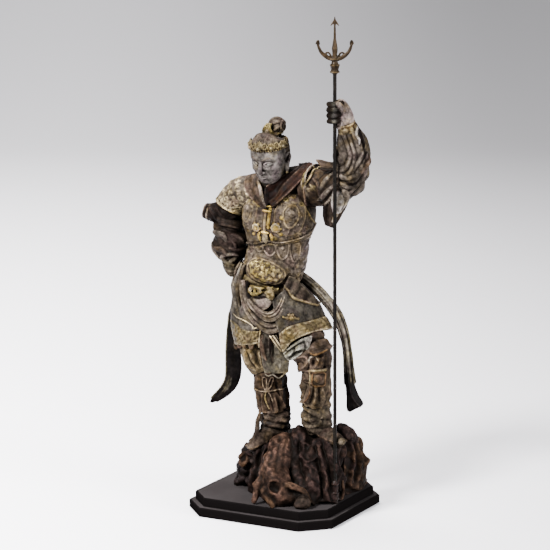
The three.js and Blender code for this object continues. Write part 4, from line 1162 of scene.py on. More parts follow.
def nested_folds(t, degrees, p):
    """Folds nested like the letter J on the side of the raised sleeve."""
    across = (p - FOLD_CENTRE) @ ACROSS_VIEW
    below = np.minimum(p[:, 2] - FOLD_CENTRE[2], 0)
    lean = across + 0.28 * np.maximum(p[:, 2] - FOLD_CENTRE[2], 0)
    reach = np.sqrt((1.5 * lean) ** 2 + below**2)
    facing = rise(np.sin(np.radians(degrees)), -0.3, 0.3)
    uneven = 1.1 * np.sin(0.45 * reach + 1)
    swell = 0.75 + 0.4 * wander(p, 11, 5)
    nested = 1.25 * pleat(TAU * reach / 5.6 + uneven + 1.2 * wander(p, 15, 3)) * swell
    behind = 1.2 * drapery(p, (0.5, 0.7, 0.5), 8, 6)
    return (facing * nested + (1 - facing) * behind) * rise(t, 0, 0.1) * (1 - rise(t, 0.86, 0.95))


def raised_sleeve():
    """The wide sleeve of the raised forearm, up to its gilded cuff."""
    rows = [
        [41, -1, 197, 7.4, 9],
        [43.8, -1.5, 203, 9, 10],
        [45.4, -2.6, 210.5, 10, 10.2],
        [46.8, -4.5, 218, 10.1, 10.2],
        [47.6, -7, 225, 9, 9.2],
        [47, -9, 230.5, 7, 7.4],
        [46.5, -10.5, 235.5, 5.2, 5.8],
    ]
    sleeve = Form(rows, "sleeve", carve=nested_folds, hollow=0.05, wall=1, step=0.33)
    made = [sleeve.shape()]
    for path, radii, paint, lift in (
        ([(43.8, 6.5, 233.7), (44.5, 7, 229.6), (45.2, 8.4, 224.7), (46, 10, 219.9)], [0.6, 1.3, 1.2, 0.6],
         "shadow", 0.1),
        ([(42.4, 5.7, 233.4), (43.3, 6.2, 230.4), (42.6, 6.6, 227.4), (44, 7.4, 224.4), (43.4, 8, 221.4)],
         [0.4, 0.8, 0.7, 0.4], "elbow_cloth", 0.5),
        ([(56.4, -4.9, 221.4), (53.4, -6.6, 216), (49.6, -8.8, 208.5)], [0.5, 1.2, 0.9, 0.4], "shadow",
         0.0),
        # A fold painted lighter, as painted light
        ([(56.8, -3.5, 219), (55.6, -4, 213), (52, -6, 207.4)], [0.7, 1.9, 1.6, 0.6], "scarf_painted_light", 0.2),
        ([(54.2, -6, 221), (51.2, -7.4, 213.4), (48.6, -8.8, 207.8)], [0.6, 1.2, 1.0, 0.5], "sleeve", 0.4),
        ([(45.5, -10.7, 203.6), (49.1, -8.8, 202.6), (53.7, -6.3, 205.4)], [0.4, 0.9, 0.8, 0.3], "shadow",
         0.0),
        ([(42.8, -13.3, 209), (46.4, -11.3, 205.8), (51, -9.1, 207.4)], [0.8, 1.7, 1.5, 0.6], "sleeve",
         0.3),
        ([(43, -12, 204), (47, -10, 200.4), (50.6, -8, 201.6)], [0.7, 1.4, 1.3, 0.5], "sleeve", 0.3),
    ):
        made.append(sleeve.laid(path, radii, paint, lift, 0.85))
    return made + cuff()


def cuff():
    """A dark cuff with two rims, a row of scrolls and a boss."""
    rows = [[46.7, -9.9, 233.4, 5.7, 6.3], [46.5, -10.5, 235.6, 5.5, 6.1], [46.2, -11.2, 238, 4.6, 5.2]]
    band = Form(rows, "tarnish", hollow=0.2, wall=1, step=0.3)
    made = [band.shape(), band.hoop(0.1, 0.5, "border"), band.hoop(0.9, 0.45, "pale_trim")]
    for k in range(10):
        made.append(band.curl(0.48, 36 * k, 1.5, 60 * k, 1, 0.42, "border"))
    made.append(band.boss(0.45, 75, 1.6, "pale_trim", 0.9))
    made.append(band.hoop(1.0, 0.6, "shadow", -0.4))
    return made


def left_arm():
    return left_guard() + left_upper_arm() + raised_sleeve() + hanging_sleeve() + elbow_cloths()


# Where the fist holds the shaft. Fist and blades are turned by the same angle about it
GRIP = np.array([40.8, -15.6, 245])
GRIP_TURN = math.radians(28)
GRIP_ASIDE = np.array([math.cos(GRIP_TURN), math.sin(GRIP_TURN), 0])
GRIP_FORWARD = np.array([math.sin(GRIP_TURN), -math.cos(GRIP_TURN), 0])


def round_grip(degrees, radius, z):
    """A place round the shaft, where 0 is to his left and 90 to the front, both turned with the fist."""
    a = math.radians(degrees)
    return GRIP + radius * (math.cos(a) * GRIP_ASIDE + math.sin(a) * GRIP_FORWARD) + (0, 0, z)


def left_hand():
    """The raised fist: four fingers and a thumb round the shaft, and the back of the hand."""
    made = []
    for finger in range(4):
        z = 4.7 - finger * 3.3
        thick = (1.75, 1.9, 1.85, 1.6)[finger]
        path = [round_grip(10 + i * 29, 3.1 + 0.35 * math.cos(i * 2.1), z - i * 0.12) for i in range(8)]
        joints = [thick, thick, 0.92 * thick, thick, 0.95 * thick, 0.8 * thick]
        made.append(strand(path, joints, "finger", out=UP, step=0.3))
        made.append(ball(round_grip(96, 4.0, z - 0.3), (1.45, 1.45, 0.85 * thick), "dark_flesh", sides=16))
        made.append(ball(round_grip(20, 4.2, z + 0.2), (1.6, 1.6, 0.9 * thick), "finger", sides=16))
    palm = [
        [*round_grip(-36, 2.2, 6.6), 2.6, 2.4],
        [*round_grip(-22, 4.2, 2), 4.2, 3.6],
        [*round_grip(-14, 5.8, -4), 5.4, 4.4],
        [*round_grip(-12, 6.6, -10), 5.2, 4.6],
    ]
    sinews = lambda t, d, p: 0.18 * pleat(np.radians(d) * 7) * bell(t - 0.4, 0.3)
    made.append(Form(palm, "hand", front=TOWARDS_VIEW, carve=sinews, caps=(0.2, 0), step=0.3).shape())
    thumb = [round_grip(0, 5, -2), round_grip(25, 4.8, 1.5), round_grip(55, 4.4, 4), round_grip(85, 4, 5.4)]
    made.append(strand(thumb, [2.2, 2.0, 1.7, 1.6, 1.2], "hand", out=UP, step=0.3))
    return made


def right_hand():
    """A loose fist on the hip, its fingers curled towards the belt."""
    rows = [[-34, -6, 152, 5, 5], [-33, -7.6, 149.4, 5.6, 5.2], [-31.4, -8.8, 146.4, 5.2, 4.8],
            [-29.8, -9.6, 143.4, 4, 3.6],
            [-28.8, -10, 141.4, 2, 1.8]]
    knobbly = lambda t, d, p: 0.35 * wander(p, 5, 3)
    made = [Form(rows, "fist", carve=knobbly, caps=(0, 0.3), step=0.3).shape()]
    for finger in range(4):
        drop = 2.3 * finger
        path = [(-37.2 + 1.3 * finger, -9.4, 151.2 - drop), (-34.6 + 0.9 * finger, -12.6, 150.2 - drop),
                (-30.8 + 0.6 * finger, -13.6, 148.6 - drop),
                (-27.6 + 0.3 * finger, -11.6, 147.2 - 0.8 * drop)]
        made.append(strand(path, [1.1, 1.35, 1.2, 0.9], "fist", out=UP, step=0.3))
    made.append(strand([(-27.6, -8, 152), (-28.6, -12, 150.6), (-30.6, -14.2, 149)], [1.6, 1.5, 1.1],
                       "fist", out=UP))
    return made


# Armour skirts over both thighs, with a moulded border at the hem, and the cloth between them

RIGHT_SKIRT = [[-13, -1.5, 137, 17, 15], [-14.5, -2, 125, 18, 16.5], [-14.5, -2.5, 113, 18, 17],
               [-12.5, -3, 102, 16.6, 17.2]]
LEFT_SKIRT_WAIST = [(1.8, -19.5, 130.7), (7.5, -15.2, 136.5), (10.3, -10.4, 138.3), (11.3, -4.7, 138.6),
                    (10.8, 1.3, 138.1),
                    (5, 8.4, 137), (-4, 11.5, 136), (-14, 8, 135)]
LEFT_SKIRT_MIDDLE = [(4.6, -21.8, 119), (11.2, -19.4, 123.4), (16.8, -14.6, 126.8), (20, -6, 128),
                     (20.8, 4.3, 126.9),
                     (14, 14, 124.4), (1.4, 17.4, 121.5), (-12, 14, 119.6)]
LEFT_SKIRT_BORDER = [(8.6, -23, 110.7), (13.8, -22, 115.6), (20, -16.2, 117.7), (23.8, -6.5, 118.2),
                     (24.3, 5.1, 118),
                     (17, 17, 114.4), (2.6, 20.4, 111.2), (-11, 16, 109.5)]
LEFT_SKIRT_HEM = [(10.6, -23.4, 101.2), (16.7, -22.2, 108.2), (22.4, -17.4, 111.7), (26.3, -7.2, 112.7),
                  (27.9, 5.9, 111.6),
                  (19, 20.2, 107.2), (2.8, 22.4, 103.9), (-11.5, 17, 101.2)]


def scrolled(p, bend):
    """A worn pattern of curls, up to 0.3 mm high."""
    across = np.sin(1.9 * p[..., 0] + 2.6 * wander(p, 5))
    upward = np.sin(1.7 * p[..., 2] + bend * wander(p, 4, 3))
    return 0.3 * across * upward


def moulded_hem(top, hem, out):
    """The border's gilded ground between two edges, with rims, fine lines inside them and faint scrolls."""
    top, hem = np.array(top, float), np.array(hem, float)
    aside = 0.9 * unit(np.array([*out[:2], 0.1]))
    faint = lambda s, w, p: 0.45 + scrolled(p, 2.2)
    made = [sheet([top, 0.5 * (top + hem), hem], "border", out, 1.4, faint, 0.3)]
    lines = [(0.02, 0.55, "pale_gold"), (0.16, 0.3, "border"), (0.84, 0.3, "border"),
             (1.0, 0.65, "pale_gold")]
    for share, radius, paint in lines:
        line = top * (1 - share) + hem * share
        made.append(strand(line + aside * (0.4 if 0.1 < share < 0.9 else 0.15), radius, paint))
    return made


def worn_skirt(t, degrees, p):
    """Slack folds on the right skirt's inner side, over uneven plate."""
    folds = 0.5 * drapery(p, (1, 0.4, 0.1), 8, 4) * rise(-np.asarray(degrees), -120, -40)
    return 0.25 * wander(p, 9) + 0.15 * wander(p, 4, 2) + folds


def rumpled_skirt(s, w, p):
    """Uneven plate on the left skirt, with a groove across it."""
    return 0.3 * wander(p, 10, 1) + 0.14 * wander(p, 4, 2) - 0.7 * bell(s - 0.36, 0.03) * rise(w, 0.1, 0.6)


def skirts():
    """Both skirts with their hems, the left one's rosette, the flap over the hip and the cloth between."""
    right = Form(RIGHT_SKIRT, "skirt", carve=worn_skirt, hollow=0.25, wall=1.6)
    edges = [LEFT_SKIRT_WAIST, LEFT_SKIRT_MIDDLE, LEFT_SKIRT_BORDER, LEFT_SKIRT_HEM]
    made = [right.shape(), sheet(edges, "left_skirt", TOWARDS_VIEW, 1.6, rumpled_skirt)]
    made += moulded_hem(LEFT_SKIRT_BORDER, LEFT_SKIRT_HEM, TOWARDS_VIEW)
    made += right_border(right) + skirt_rosette() + hip_panel() + hem_scraps(right) + between_cloth()
    return made


def skirt_rosette():
    """A gilded rosette of six petals with a curl on either side."""
    centre = np.array([14.2, -19.1, 121])
    made = [ball(centre, (1.5, 1.3, 1.5), "gold")]
    for turn in range(0, 360, 60):
        a = math.radians(turn)
        at = centre + 2 * math.cos(a) * ACROSS_VIEW + (0, 0, 2 * math.sin(a))
        made.append(ball(at, (1, 0.9, 1), "border"))
    for side in (-1, 1):
        tip = centre + 4.6 * side * ACROSS_VIEW + (0, 0, -0.6 * side)
        made.append(strand([centre + 2.4 * side * ACROSS_VIEW, tip, tip + (0, 0, 1.4)], [0.7, 0.6, 0.3],
                           "border"))
    return made


def right_border(form):
    """The worked border of the right skirt, cut away in front, with its rims."""
    band = []
    for t in np.linspace(0.62, 0.975, 7):
        row = smooth_rows(form.rows, [t])[0]
        band.append([*row[:3], row[3] + 0.8, row[4] + 0.8])

    def worked(t, d, p):
        cut_away = rise(0.42 * rise(np.asarray(d, float), 40, 100) - t, 0, 0.02)
        return scrolled(p, 2) - 1.6 * cut_away

    made = [Form(band, "border", carve=worked, step=0.36).shape()]
    around = np.linspace(0, 360, 25)
    made.append(form.hoop(0.985, 0.65, "pale_gold", 0.2, around))
    made.append(form.hoop(0.93, 0.3, "border", 0.7, around))
    made.append(strand([(-26, -17, 119.6), (-21.4, -20.3, 118.1), (-14.8, -21.6, 116.6),
                        (-10.4, -21.4, 114.4), (-9.8, -21.4, 112.6),
                        (-6.6, -21.2, 113.6), (-5, -21, 112.6)], [0.4, 0.6, 0.5], "pale_gold"))
    made.append(strand([(-5.2, -20.9, 112.7), (-5.6, -21.4, 106.6), (-6, -21.2, 101.1)], [0.5, 0.6, 0.5],
                       "pale_gold"))
    return made


def hip_panel():
    """Ribbed cloth that fans out from the belt over the left hip, with a rolled lower edge."""
    top = [(9, -11.6, 144.6), (12.6, -9, 142.6), (15.9, -4.9, 136.8), (19.6, -0.6, 131), (22.4, 3.4, 127.4)]
    low = [(7.4, -15, 139), (10, -14.6, 136.4), (13.3, -14.2, 132.4), (17.6, -11, 130.2), (21, -5.6, 127.8),
           (23.2, -0.6, 126)]
    ribs = lambda s, w, p: 0.8 * pleat(TAU * 4.4 * s + 1.2 * w + 0.8 * wander(p, 9)) * (0.35 + 0.65 * w)
    made = [panel(top, low, "hip_cloth", thick=2.6, crease=ribs, bulge=0.7)]
    made.append(strand(low, [0.4, 0.75, 0.7, 0.5], "border"))
    beneath = np.array(low) + (-0.5, 0.3, -1.5)
    made.append(strand(beneath, [0.4, 0.9, 0.9, 0.5], "shadow"))
    return made


def hem_scraps(form):
    """Torn edges of the lining under the right skirt's hem."""
    made = []
    for k, degrees in enumerate(range(16, 150, 19)):
        at = form.surface(np.array([1.0]), np.array([float(degrees)]), -0.5)[0]
        reach = (1.2, 2.6, 1.8)[k % 3]
        made.append(strand([at + (-1.6, 0, 1), at + (0, 0, -reach), at + (2, 0, 0.6)], [1.0, 1.2, 0.7],
                           "gaiter"))
    made.append(panel([(-5, -21, 112.5), (-5.2, -21.2, 99)], [(-3, -20.4, 111.5), (-4, -20.6, 99)],
                      "shadow", thick=1.5))
    return made


def between_cloth():
    """The apron's cloth between the thighs with its pointed tail, and rumpled lining under the left skirt."""
    rows = [[-3, -14, 116, 4, 3], [0, -16, 104, 6, 3.4], [0.6, -16, 94, 7, 3], [1.5, -14.5, 86, 6.4, 2]]
    made = [Form(rows, "inner_cloth", carve=cloth((0.9, 0.4, 0), 5, 0.9, 2), caps=(0, 0.1),
                 step=0.33).shape()]
    left = [(-3.6, -20.4, 111), (-4.2, -21, 102), (-4, -21.4, 94), (-2.6, -21, 86)]
    right = [(5, -20.4, 110), (9.2, -19.2, 101), (12, -17.4, 95.4), (11, -16.6, 87)]
    folds = [
        ([(-2.6, -21, 111), (-2.4, -21.4, 104), (-1, -22, 97), (1.6, -21, 90)], 1.1, 1.7),
        ([(2.7, -21.2, 108), (3, -21, 100), (2.4, -20.8, 92)], 0.9, -1.4),
        ([(6, -20, 104), (7.4, -19, 97), (6.6, -18.6, 88)], 1.4, 0.7),
        ([(-0.4, -21.4, 108), (0, -21.4, 101)], 0.7, -1.0),
    ]
    made.append(panel(left, right, "tail_cloth", thick=1.3, crease=lambda s, w,
                      p: folded(p, folds) + 0.3 * wander(p, 6), bulge=0.5))
    ragged = [(-2.4, -21.8, 86.6), (0.2, -21.4, 84.8), (3, -20.6, 85.8), (6.1, -19.2, 83.8),
              (8.8, -17.8, 85.8), (11.4, -16.4, 88)]
    for path, radii, paint, flat in (
        ([(-3.2, -22, 110), (-3.4, -22.4, 104), (-2.2, -22.8, 98.6), (-0.2, -22.6, 94)],
         [0.9, 1.4, 1.3, 0.5], "gaiter", 1),
        ([(1.4, -21.6, 109), (2, -22, 103), (1.6, -21.8, 97)], [0.5, 1.0, 0.4], "shadow", 0.5),
        (ragged, [0.3, 0.5, 0.5, 0.3], "tail_cloth", 1),
        ([(1.4, -22.7, 110.2), (5.2, -22, 105.6), (9.1, -20.8, 100.2)], [0.4, 0.6, 0.5], "pale_gold", 1),
        ([(3.7, -22.6, 110.8), (7, -21.8, 106.3), (10.2, -21, 101.5)], [0.4, 0.5, 0.5], "pale_gold", 1),
        ([(2.6, -22.2, 110.4), (6.1, -21.4, 106), (9.4, -20.4, 101)], [0.6, 0.8, 0.6], "shadow", 1),
    ):
        made.append(strand(path, radii, paint, flat))
    return made + wads()


def wads():
    """Crumpled lining with deep creases between its lumps."""
    upper = [(10.8, -22.6, 100.2), (16, -21.6, 105.6), (21.6, -18.6, 109.4), (26, -14.4, 110.8)]
    lower = [(13.2, -20.8, 95.2), (18, -19.6, 97), (22.6, -18.4, 98.4), (25, -16.8, 102.2)]
    creases = [
        ([(9.4, -21.1, 97.6), (15.5, -20.1, 103), (18.8, -18.8, 105.8), (22.6, -17, 107)], 0.7, -2.0),
        ([(12.4, -19.6, 96.9), (17.3, -18.5, 100.2), (22, -17.4, 102.3)], 0.8, -2.2),
        ([(21.9, -17.7, 108.4), (22.7, -17.3, 103.5), (21.2, -17.4, 97.6)], 0.8, -2.2),
        ([(15, -19, 98.6), (16.6, -18.6, 102), (16, -19, 104.6)], 0.6, -1.3),
        ([(11.4, -20.9, 101), (15.6, -20.1, 104.6), (20.4, -18.2, 107.6)], 0.8, 1.1),
        ([(13.4, -20, 98.6), (17.4, -19, 101.8), (20.6, -18, 103.8)], 0.8, 1.2),
        ([(14.4, -19, 96), (18, -18, 98.4), (20.4, -17.6, 100.2)], 0.8, 1.1),
    ]
    crumple = lambda s, w, p: folded(p, creases) + 0.6 * wander(p, 4, 2) + 0.3 * wander(p, 2.2, 5)
    return [panel(upper, lower, "wad", thick=3, crease=crumple, bulge=1.4, step=0.33)]


def sash():
    """A sash that hangs in two bundles of folds with a gap between painted dark as shade, over the cloth at
    his right hip.
    """
    outer = [(-20.6, -17.8, 140), (-18.8, -20, 132.2), (-15.3, -22, 125.2), (-10.8, -22.8, 119.2),
             (-5, -23, 114.4), (0.9, -21.8, 111.6),
             (6.1, -19.4, 113), (9.8, -16.8, 118.9), (11.7, -14.6, 126.3), (11.9, -12.4, 133.5),
             (10.9, -10.4, 140)]
    middle = [(-17, -18.6, 141), (-15, -20.6, 133.4), (-11.6, -22.4, 126.9), (-6.6, -22.9, 121),
              (-0.6, -22.6, 117.4), (4.4, -20.6, 117.8),
              (8.2, -18, 122.4), (10.1, -15.6, 128.3), (10.4, -12.8, 136)]
    gap = [(-15.4, -18.8, 141), (-13.6, -20.4, 132.6), (-10.2, -22, 126), (-5.4, -22.8, 120.8),
           (0, -22.4, 118.6)]
    lower = [(-13.4, -21.3, 129.8), (-10.1, -22.6, 126.5), (-5.6, -23.6, 122.2), (-0.5, -23.5, 119.2),
             (3.2, -22.2, 118.9), (6.8, -20, 121.3),
             (8.8, -17.6, 126.6), (9.3, -14.6, 132.6), (9, -11.4, 139)]
    upper = [(-11.6, -21.5, 130.6), (-7.4, -22.4, 127), (-2.6, -22.5, 124.4), (1.4, -21.2, 124.2),
             (4.4, -19, 127.4), (5.9, -16.6, 132.4),
             (6.6, -13.4, 138.3)]
    made = [
        panel(outer, middle, "sash", thick=3.6, crease=drape(2.4, 0.75, 1, 0.7, 22), bulge=0.8),
        panel(lower, upper, "sash", thick=3.4, crease=drape(3.4, 0.8, 3, 0.7, 22), bulge=0.9),
        strand(gap, [0.8, 1.4, 1.3, 0.9, 0.4], "shadow", flat=0.5),
        strand(outer, [0.7, 1.0, 1.1, 1.2, 1.2, 1.1, 0.8], "sash"),
        strand(lower, [0.4, 0.9, 1.0, 1.0, 0.7], "sash"),
        strand([(-13.8, -21.4, 130.2), (-12.2, -22.4, 127.8), (-9.4, -23.2, 125.2), (-6, -23.8, 122.9)],
               [0.4, 1.0, 0.9, 0.4], "pale_cloth"),
    ]
    made += hip_cloth() + belt() + buckle() + tongue()
    return made


def hip_cloth():
    """Upright folds at his right hip, whose outer edge is torn."""
    made = []
    for k, (x, y, low) in enumerate(((-30, -6, 124), (-29.4, -9, 121), (-27.6, -12.4, 119.6),
                                     (-25, -15.4, 120.6), (-22, -17.6, 123.6))):
        sway = 0.8 * math.sin(2.3 * k)
        path = [(x + 3.4, y + 2, 150), (x + 1.4 + sway, y + 0.6, 143), (x - sway, y, 135),
                (x + 0.8, y - 0.6, low + 4), (x + 1.6, y - 0.6, low)]
        made.append(strand(path, [0.7, 1.5, 1.7, 1.3, 0.5], "skirt" if k % 2 else "hip_cloth", out=FRONT))
    for x, y, z in ((-31.4, -5, 142.6), (-32, -4.6, 136), (-31.4, -4.6, 129.6)):
        made.append(strand([(x + 2.6, y, z + 2.4), (x - 0.6, y, z - 0.6), (x + 0.2, y, z - 3)],
                           [0.8, 1.0, 0.3], "hip_cloth"))
    return made


def belt():
    """A gilded belt and its lower rim, with studs along it."""
    body = torso_form()
    made = []
    for z, radius, paint, lift in ((138.5, 1.7, "border", 0.6), (136.3, 1.0, "pale_gold", 1.2)):
        line = [(degrees, z - 0.03 * (90 - degrees)) for degrees in range(-30, 215, 14)]
        made.append(body.cord(body.at_heights(line), radius, paint, lift))
    for degrees in range(0, 190, 12):
        made.append(body.boss(body.level(138.8), degrees, 1.1, "gold", 2.2, 12))
    return made


def buckle():
    """A clasp of barred and curled gilding over the belt, with the knot of the sash beside it."""
    made = [ball((-7.6, -18.8, 135), (5.6, 2.4, 3.4), "border")]
    for points in (
        [(-13.2, -19.4, 137.6), (-10.4, -21.4, 138), (-6, -21.8, 137.4), (-2.4, -20.4, 137.6)],
        [(-13, -19.6, 134.6), (-10.4, -21.6, 133.6), (-7, -22, 134), (-3.4, -21.2, 135.6)],
        [(-12.6, -20, 137.4), (-12.8, -20.4, 135.4), (-12, -20.8, 133.4)],
        [(-9.4, -21.6, 137.4), (-8.4, -22, 135.6), (-8.8, -21.8, 133.8)],
    ):
        made.append(strand(points, [0.5, 1.0, 0.9, 0.5], "gold", out=FRONT))
    for x, z, hand in ((-11.2, 136, 1), (-5.4, 136.4, -1)):
        path = [(x + 1.4 * (1 - 0.8 * s) * math.cos(hand * 8 * s), -22,
                 z + 1.4 * (1 - 0.8 * s) * math.sin(hand * 8 * s))
                for s in np.linspace(0, 1, 9)]
        made.append(strand(path, 0.45, "pale_gold", out=FRONT, step=0.3))
    for points, radii in (
        ([(-1.6, -20, 138.6), (1.4, -21, 136.6), (2.6, -20.6, 133.6), (2, -20.2, 130.4)],
         [0.8, 1.5, 1.4, 0.6]),
        ([(-1, -20.6, 136), (0.4, -21.6, 133.6), (1.4, -21, 130.8)], [0.7, 1.2, 0.5]),
        ([(-2.4, -20.4, 134.6), (0.6, -22, 135.6), (3.6, -19.8, 136.4)], [0.8, 1.3, 0.8]),
    ):
        made.append(strand(points, radii, "border", out=FRONT))
    made.append(strand([(-12.6, -20.4, 132.6), (-7, -21.8, 132), (-1, -21, 132.6)], [0.4, 0.8, 0.4],
                       "shadow", out=FRONT))
    return made


def tongue():
    """The rounded end of the apron that hangs from the clasp."""
    rows = [[-7.4, -17.6, 132.6, 6.4, 3.2], [-6.4, -19, 129, 7.4, 3], [-5, -19, 126, 6.6, 2.8],
            [-4.2, -18.6, 123.8, 3.4, 2]]
    fall = lambda t, d, p: 0.25 * wander(p, 6)
    made = [Form(rows, "tongue", carve=fall, caps=(0.1, 0.35), step=0.3).shape()]
    made.append(strand([(-13.4, -19.2, 132), (-13, -20.4, 128.8), (-10, -21.4, 126), (-5, -21.6, 124.6),
                        (-0.6, -20.2, 126.2), (1.6, -19, 130)],
                       [0.5, 0.7, 0.8, 0.7, 0.5], "sash", out=FRONT))
    made.append(strand([(-13.8, -19.6, 133.4), (-13.6, -20.6, 130.4), (-12.6, -20.8, 127.6)],
                       [0.4, 0.7, 0.4], "pale_gold", out=FRONT))
    return made


# Full trousers tied under the knees, and gaiters whose pleated edges flare over the boots

RIGHT_THIGH = [[-16, -2.5, 116, 12, 13], [-15.5, -3.5, 106, 12.5, 13], [-14.5, -4.5, 98, 11.5, 12.5],
               [-12, -5, 91.5, 11.6, 12.2],
               [-9, -5, 84.5, 9, 9.8]]
LEFT_THIGH = [[4, -3, 116, 9.5, 10], [12.4, -4.6, 110, 10.4, 11], [18.8, -6.6, 104, 11.2, 11.4],
              [22.8, -7.8, 97, 11, 11.6],
              [25, -8.4, 89.5, 8.7, 9.8]]
RIGHT_GAITER = [[-8, -4.5, 86.5, 8.6, 9.2], [-8, -4.5, 81, 9.4, 9.6], [-7.3, -4, 73, 9, 9.2],
                [-6.4, -3.5, 66, 8.8, 9], [-6, -3, 60, 9.2, 9.4]]
LEFT_GAITER = [[25.3, -8.4, 91, 8.6, 9.6], [25.4, -8, 85.5, 8.5, 9.6], [24.8, -7.4, 79.5, 8.5, 9.6],
               [24, -6.4, 74, 8.4, 9.6],
               [22.6, -5.4, 69, 8.8, 9.6]]
RIGHT_THIGH_FOLDS = [
    ([(-18.1, -16.6, 99), (-16.1, -17.7, 92), (-11.9, -16.6, 87)], 1.5, 1.5),
    ([(-14.5, -16.9, 100), (-12, -17.8, 93.1), (-8.3, -15.8, 87)], 1.4, 1.7),
    ([(-16.6, -17, 98), (-14, -17.8, 92), (-10, -16.2, 87)], 0.8, -1.6),
    ([(-11, -17, 97), (-9.2, -17, 92), (-7.4, -15.4, 87.6)], 1.1, -1.8),
    ([(-8.3, -17, 98), (-7.3, -16.4, 92.1), (-6.7, -15, 87)], 1.4, 1.5),
    ([(-18.6, -15, 92), (-14.5, -17.6, 88), (-9.5, -16, 85.6)], 0.8, 0.9),
]
LEFT_THIGH_FOLDS = [
    ([(21.9, -17.7, 101.1), (24.2, -16.5, 105.9), (27.3, -14.8, 108.6), (31, -11.7, 109.6),
      (35.3, -6, 108.9)], 0.8, -2.2),
    ([(24.8, -16.2, 101.1), (27.6, -15.2, 100), (31, -12.8, 100.8), (33.7, -9.1, 102.8),
      (34.4, -5.3, 104.5)], 1.2, 2.3),
    ([(25.6, -16, 103.6), (29, -14, 104.6), (33.6, -9, 106)], 1.6, 1.0),
    ([(24, -16.4, 99.4), (28, -15, 98.4), (32.4, -10, 99.4)], 0.6, -1.5),
    ([(25.2, -17.1, 93.4), (25.8, -16.8, 98), (28.3, -15.4, 99.2), (29.9, -14.6, 96.5), (28.2, -15.4, 92)],
     0.9, 1.9),
    ([(27.4, -16, 97), (27.2, -16, 93)], 0.8, -1.7),
    ([(31.5, -12.6, 99.3), (31.3, -12.7, 95.1), (31, -12.8, 90)], 1.1, 1.6),
    ([(33.8, -7.9, 102), (33.3, -8.2, 95.6), (32.8, -8.5, 89)], 1.0, 1.4),
    ([(32.6, -10.4, 99), (32.4, -10.6, 95), (32, -10.8, 89)], 0.5, -1.5),
    ([(15.3, -17.9, 95), (19.1, -18.1, 97.6), (22.8, -17, 98.2), (24.2, -16.1, 95.7), (22.3, -17.3, 91.6),
      (18.1, -17.5, 90.6)], 1.4, 1.9),
    ([(16.6, -17, 94.2), (20, -17, 94.8), (22, -16.6, 93.4)], 0.7, -0.9),
    ([(24.6, -16.4, 99), (24.9, -16.4, 94), (23.6, -16.4, 89.4)], 0.6, -2.0),
    ([(17, -17, 89.4), (22, -17, 88.4), (28, -15, 88.6)], 0.9, 1.2),
]
RIGHT_GAITER_FOLDS = [
    ([(0.1, -10.2, 72.1), (2.5, -8.3, 67), (3.9, -6.4, 61.2)], 0.8, 1.6),
    ([(1.4, -9.4, 82), (2, -9.2, 75.1), (2.5, -8.3, 69)], 0.8, 1.4),
    ([(2.9, -5.2, 83), (3.7, -4.8, 75.6), (3.8, -3.6, 66)], 0.7, 1.2),
    ([(-0.4, -10.6, 80), (0.4, -9.8, 74), (1.4, -9, 69)], 0.6, -1.4),
    ([(-7.5, -14.8, 71.6), (-7.3, -15.3, 66.8), (-6.5, -14.9, 60.9)], 0.8, 1.2),
    ([(-1.2, -11.4, 70.3), (0.1, -10.7, 65.4), (1.2, -10.2, 59.5)], 0.8, 1.4),
    ([(-3, -12.4, 69), (-2, -12, 64), (-1.4, -11, 60)], 0.6, -1.4),
    ([(-10.6, -14, 72), (-10.8, -14, 67), (-11, -13, 61)], 0.8, 1.2),
    ([(-9, -14, 71), (-9, -14, 66), (-8.8, -13, 60)], 0.6, -1.4),
    ([(-13, -12, 82), (-13.4, -12, 76), (-13, -12, 70)], 0.9, 0.9),
    ([(-9.4, -14, 83), (-8.6, -14, 79), (-8.8, -14, 75)], 0.7, -0.9),
]
LEFT_GAITER_FOLDS = [
    ([(26.3, -16.5, 80.8), (25.8, -16.8, 75.9), (22.5, -17.4, 69.5)], 0.8, 1.8),
    ([(29.1, -15.5, 80.5), (29.1, -16.1, 74.9), (28.4, -16.5, 69.7)], 0.9, 1.4),
    ([(31.8, -13, 80.5), (32.6, -13.1, 75.9), (33.3, -12.7, 71.3)], 0.8, 1.4),
    ([(33.8, -9.1, 81.2), (34.5, -9.2, 77.1), (35.4, -8.2, 72)], 0.7, 1.2),
    ([(23.7, -17.3, 80.6), (22.2, -18.1, 76.4), (19.9, -18.2, 71)], 1.0, -1.8),
    ([(27.6, -16, 80), (27.2, -16.4, 75), (25.4, -16.6, 69.6)], 0.6, -1.5),
    ([(30.6, -14.6, 80), (30.9, -14.6, 75), (30.8, -14.6, 70)], 0.6, -1.5),
    ([(21, -18, 82), (19.4, -18, 77), (17, -18, 71)], 1.0, 1.3),
]


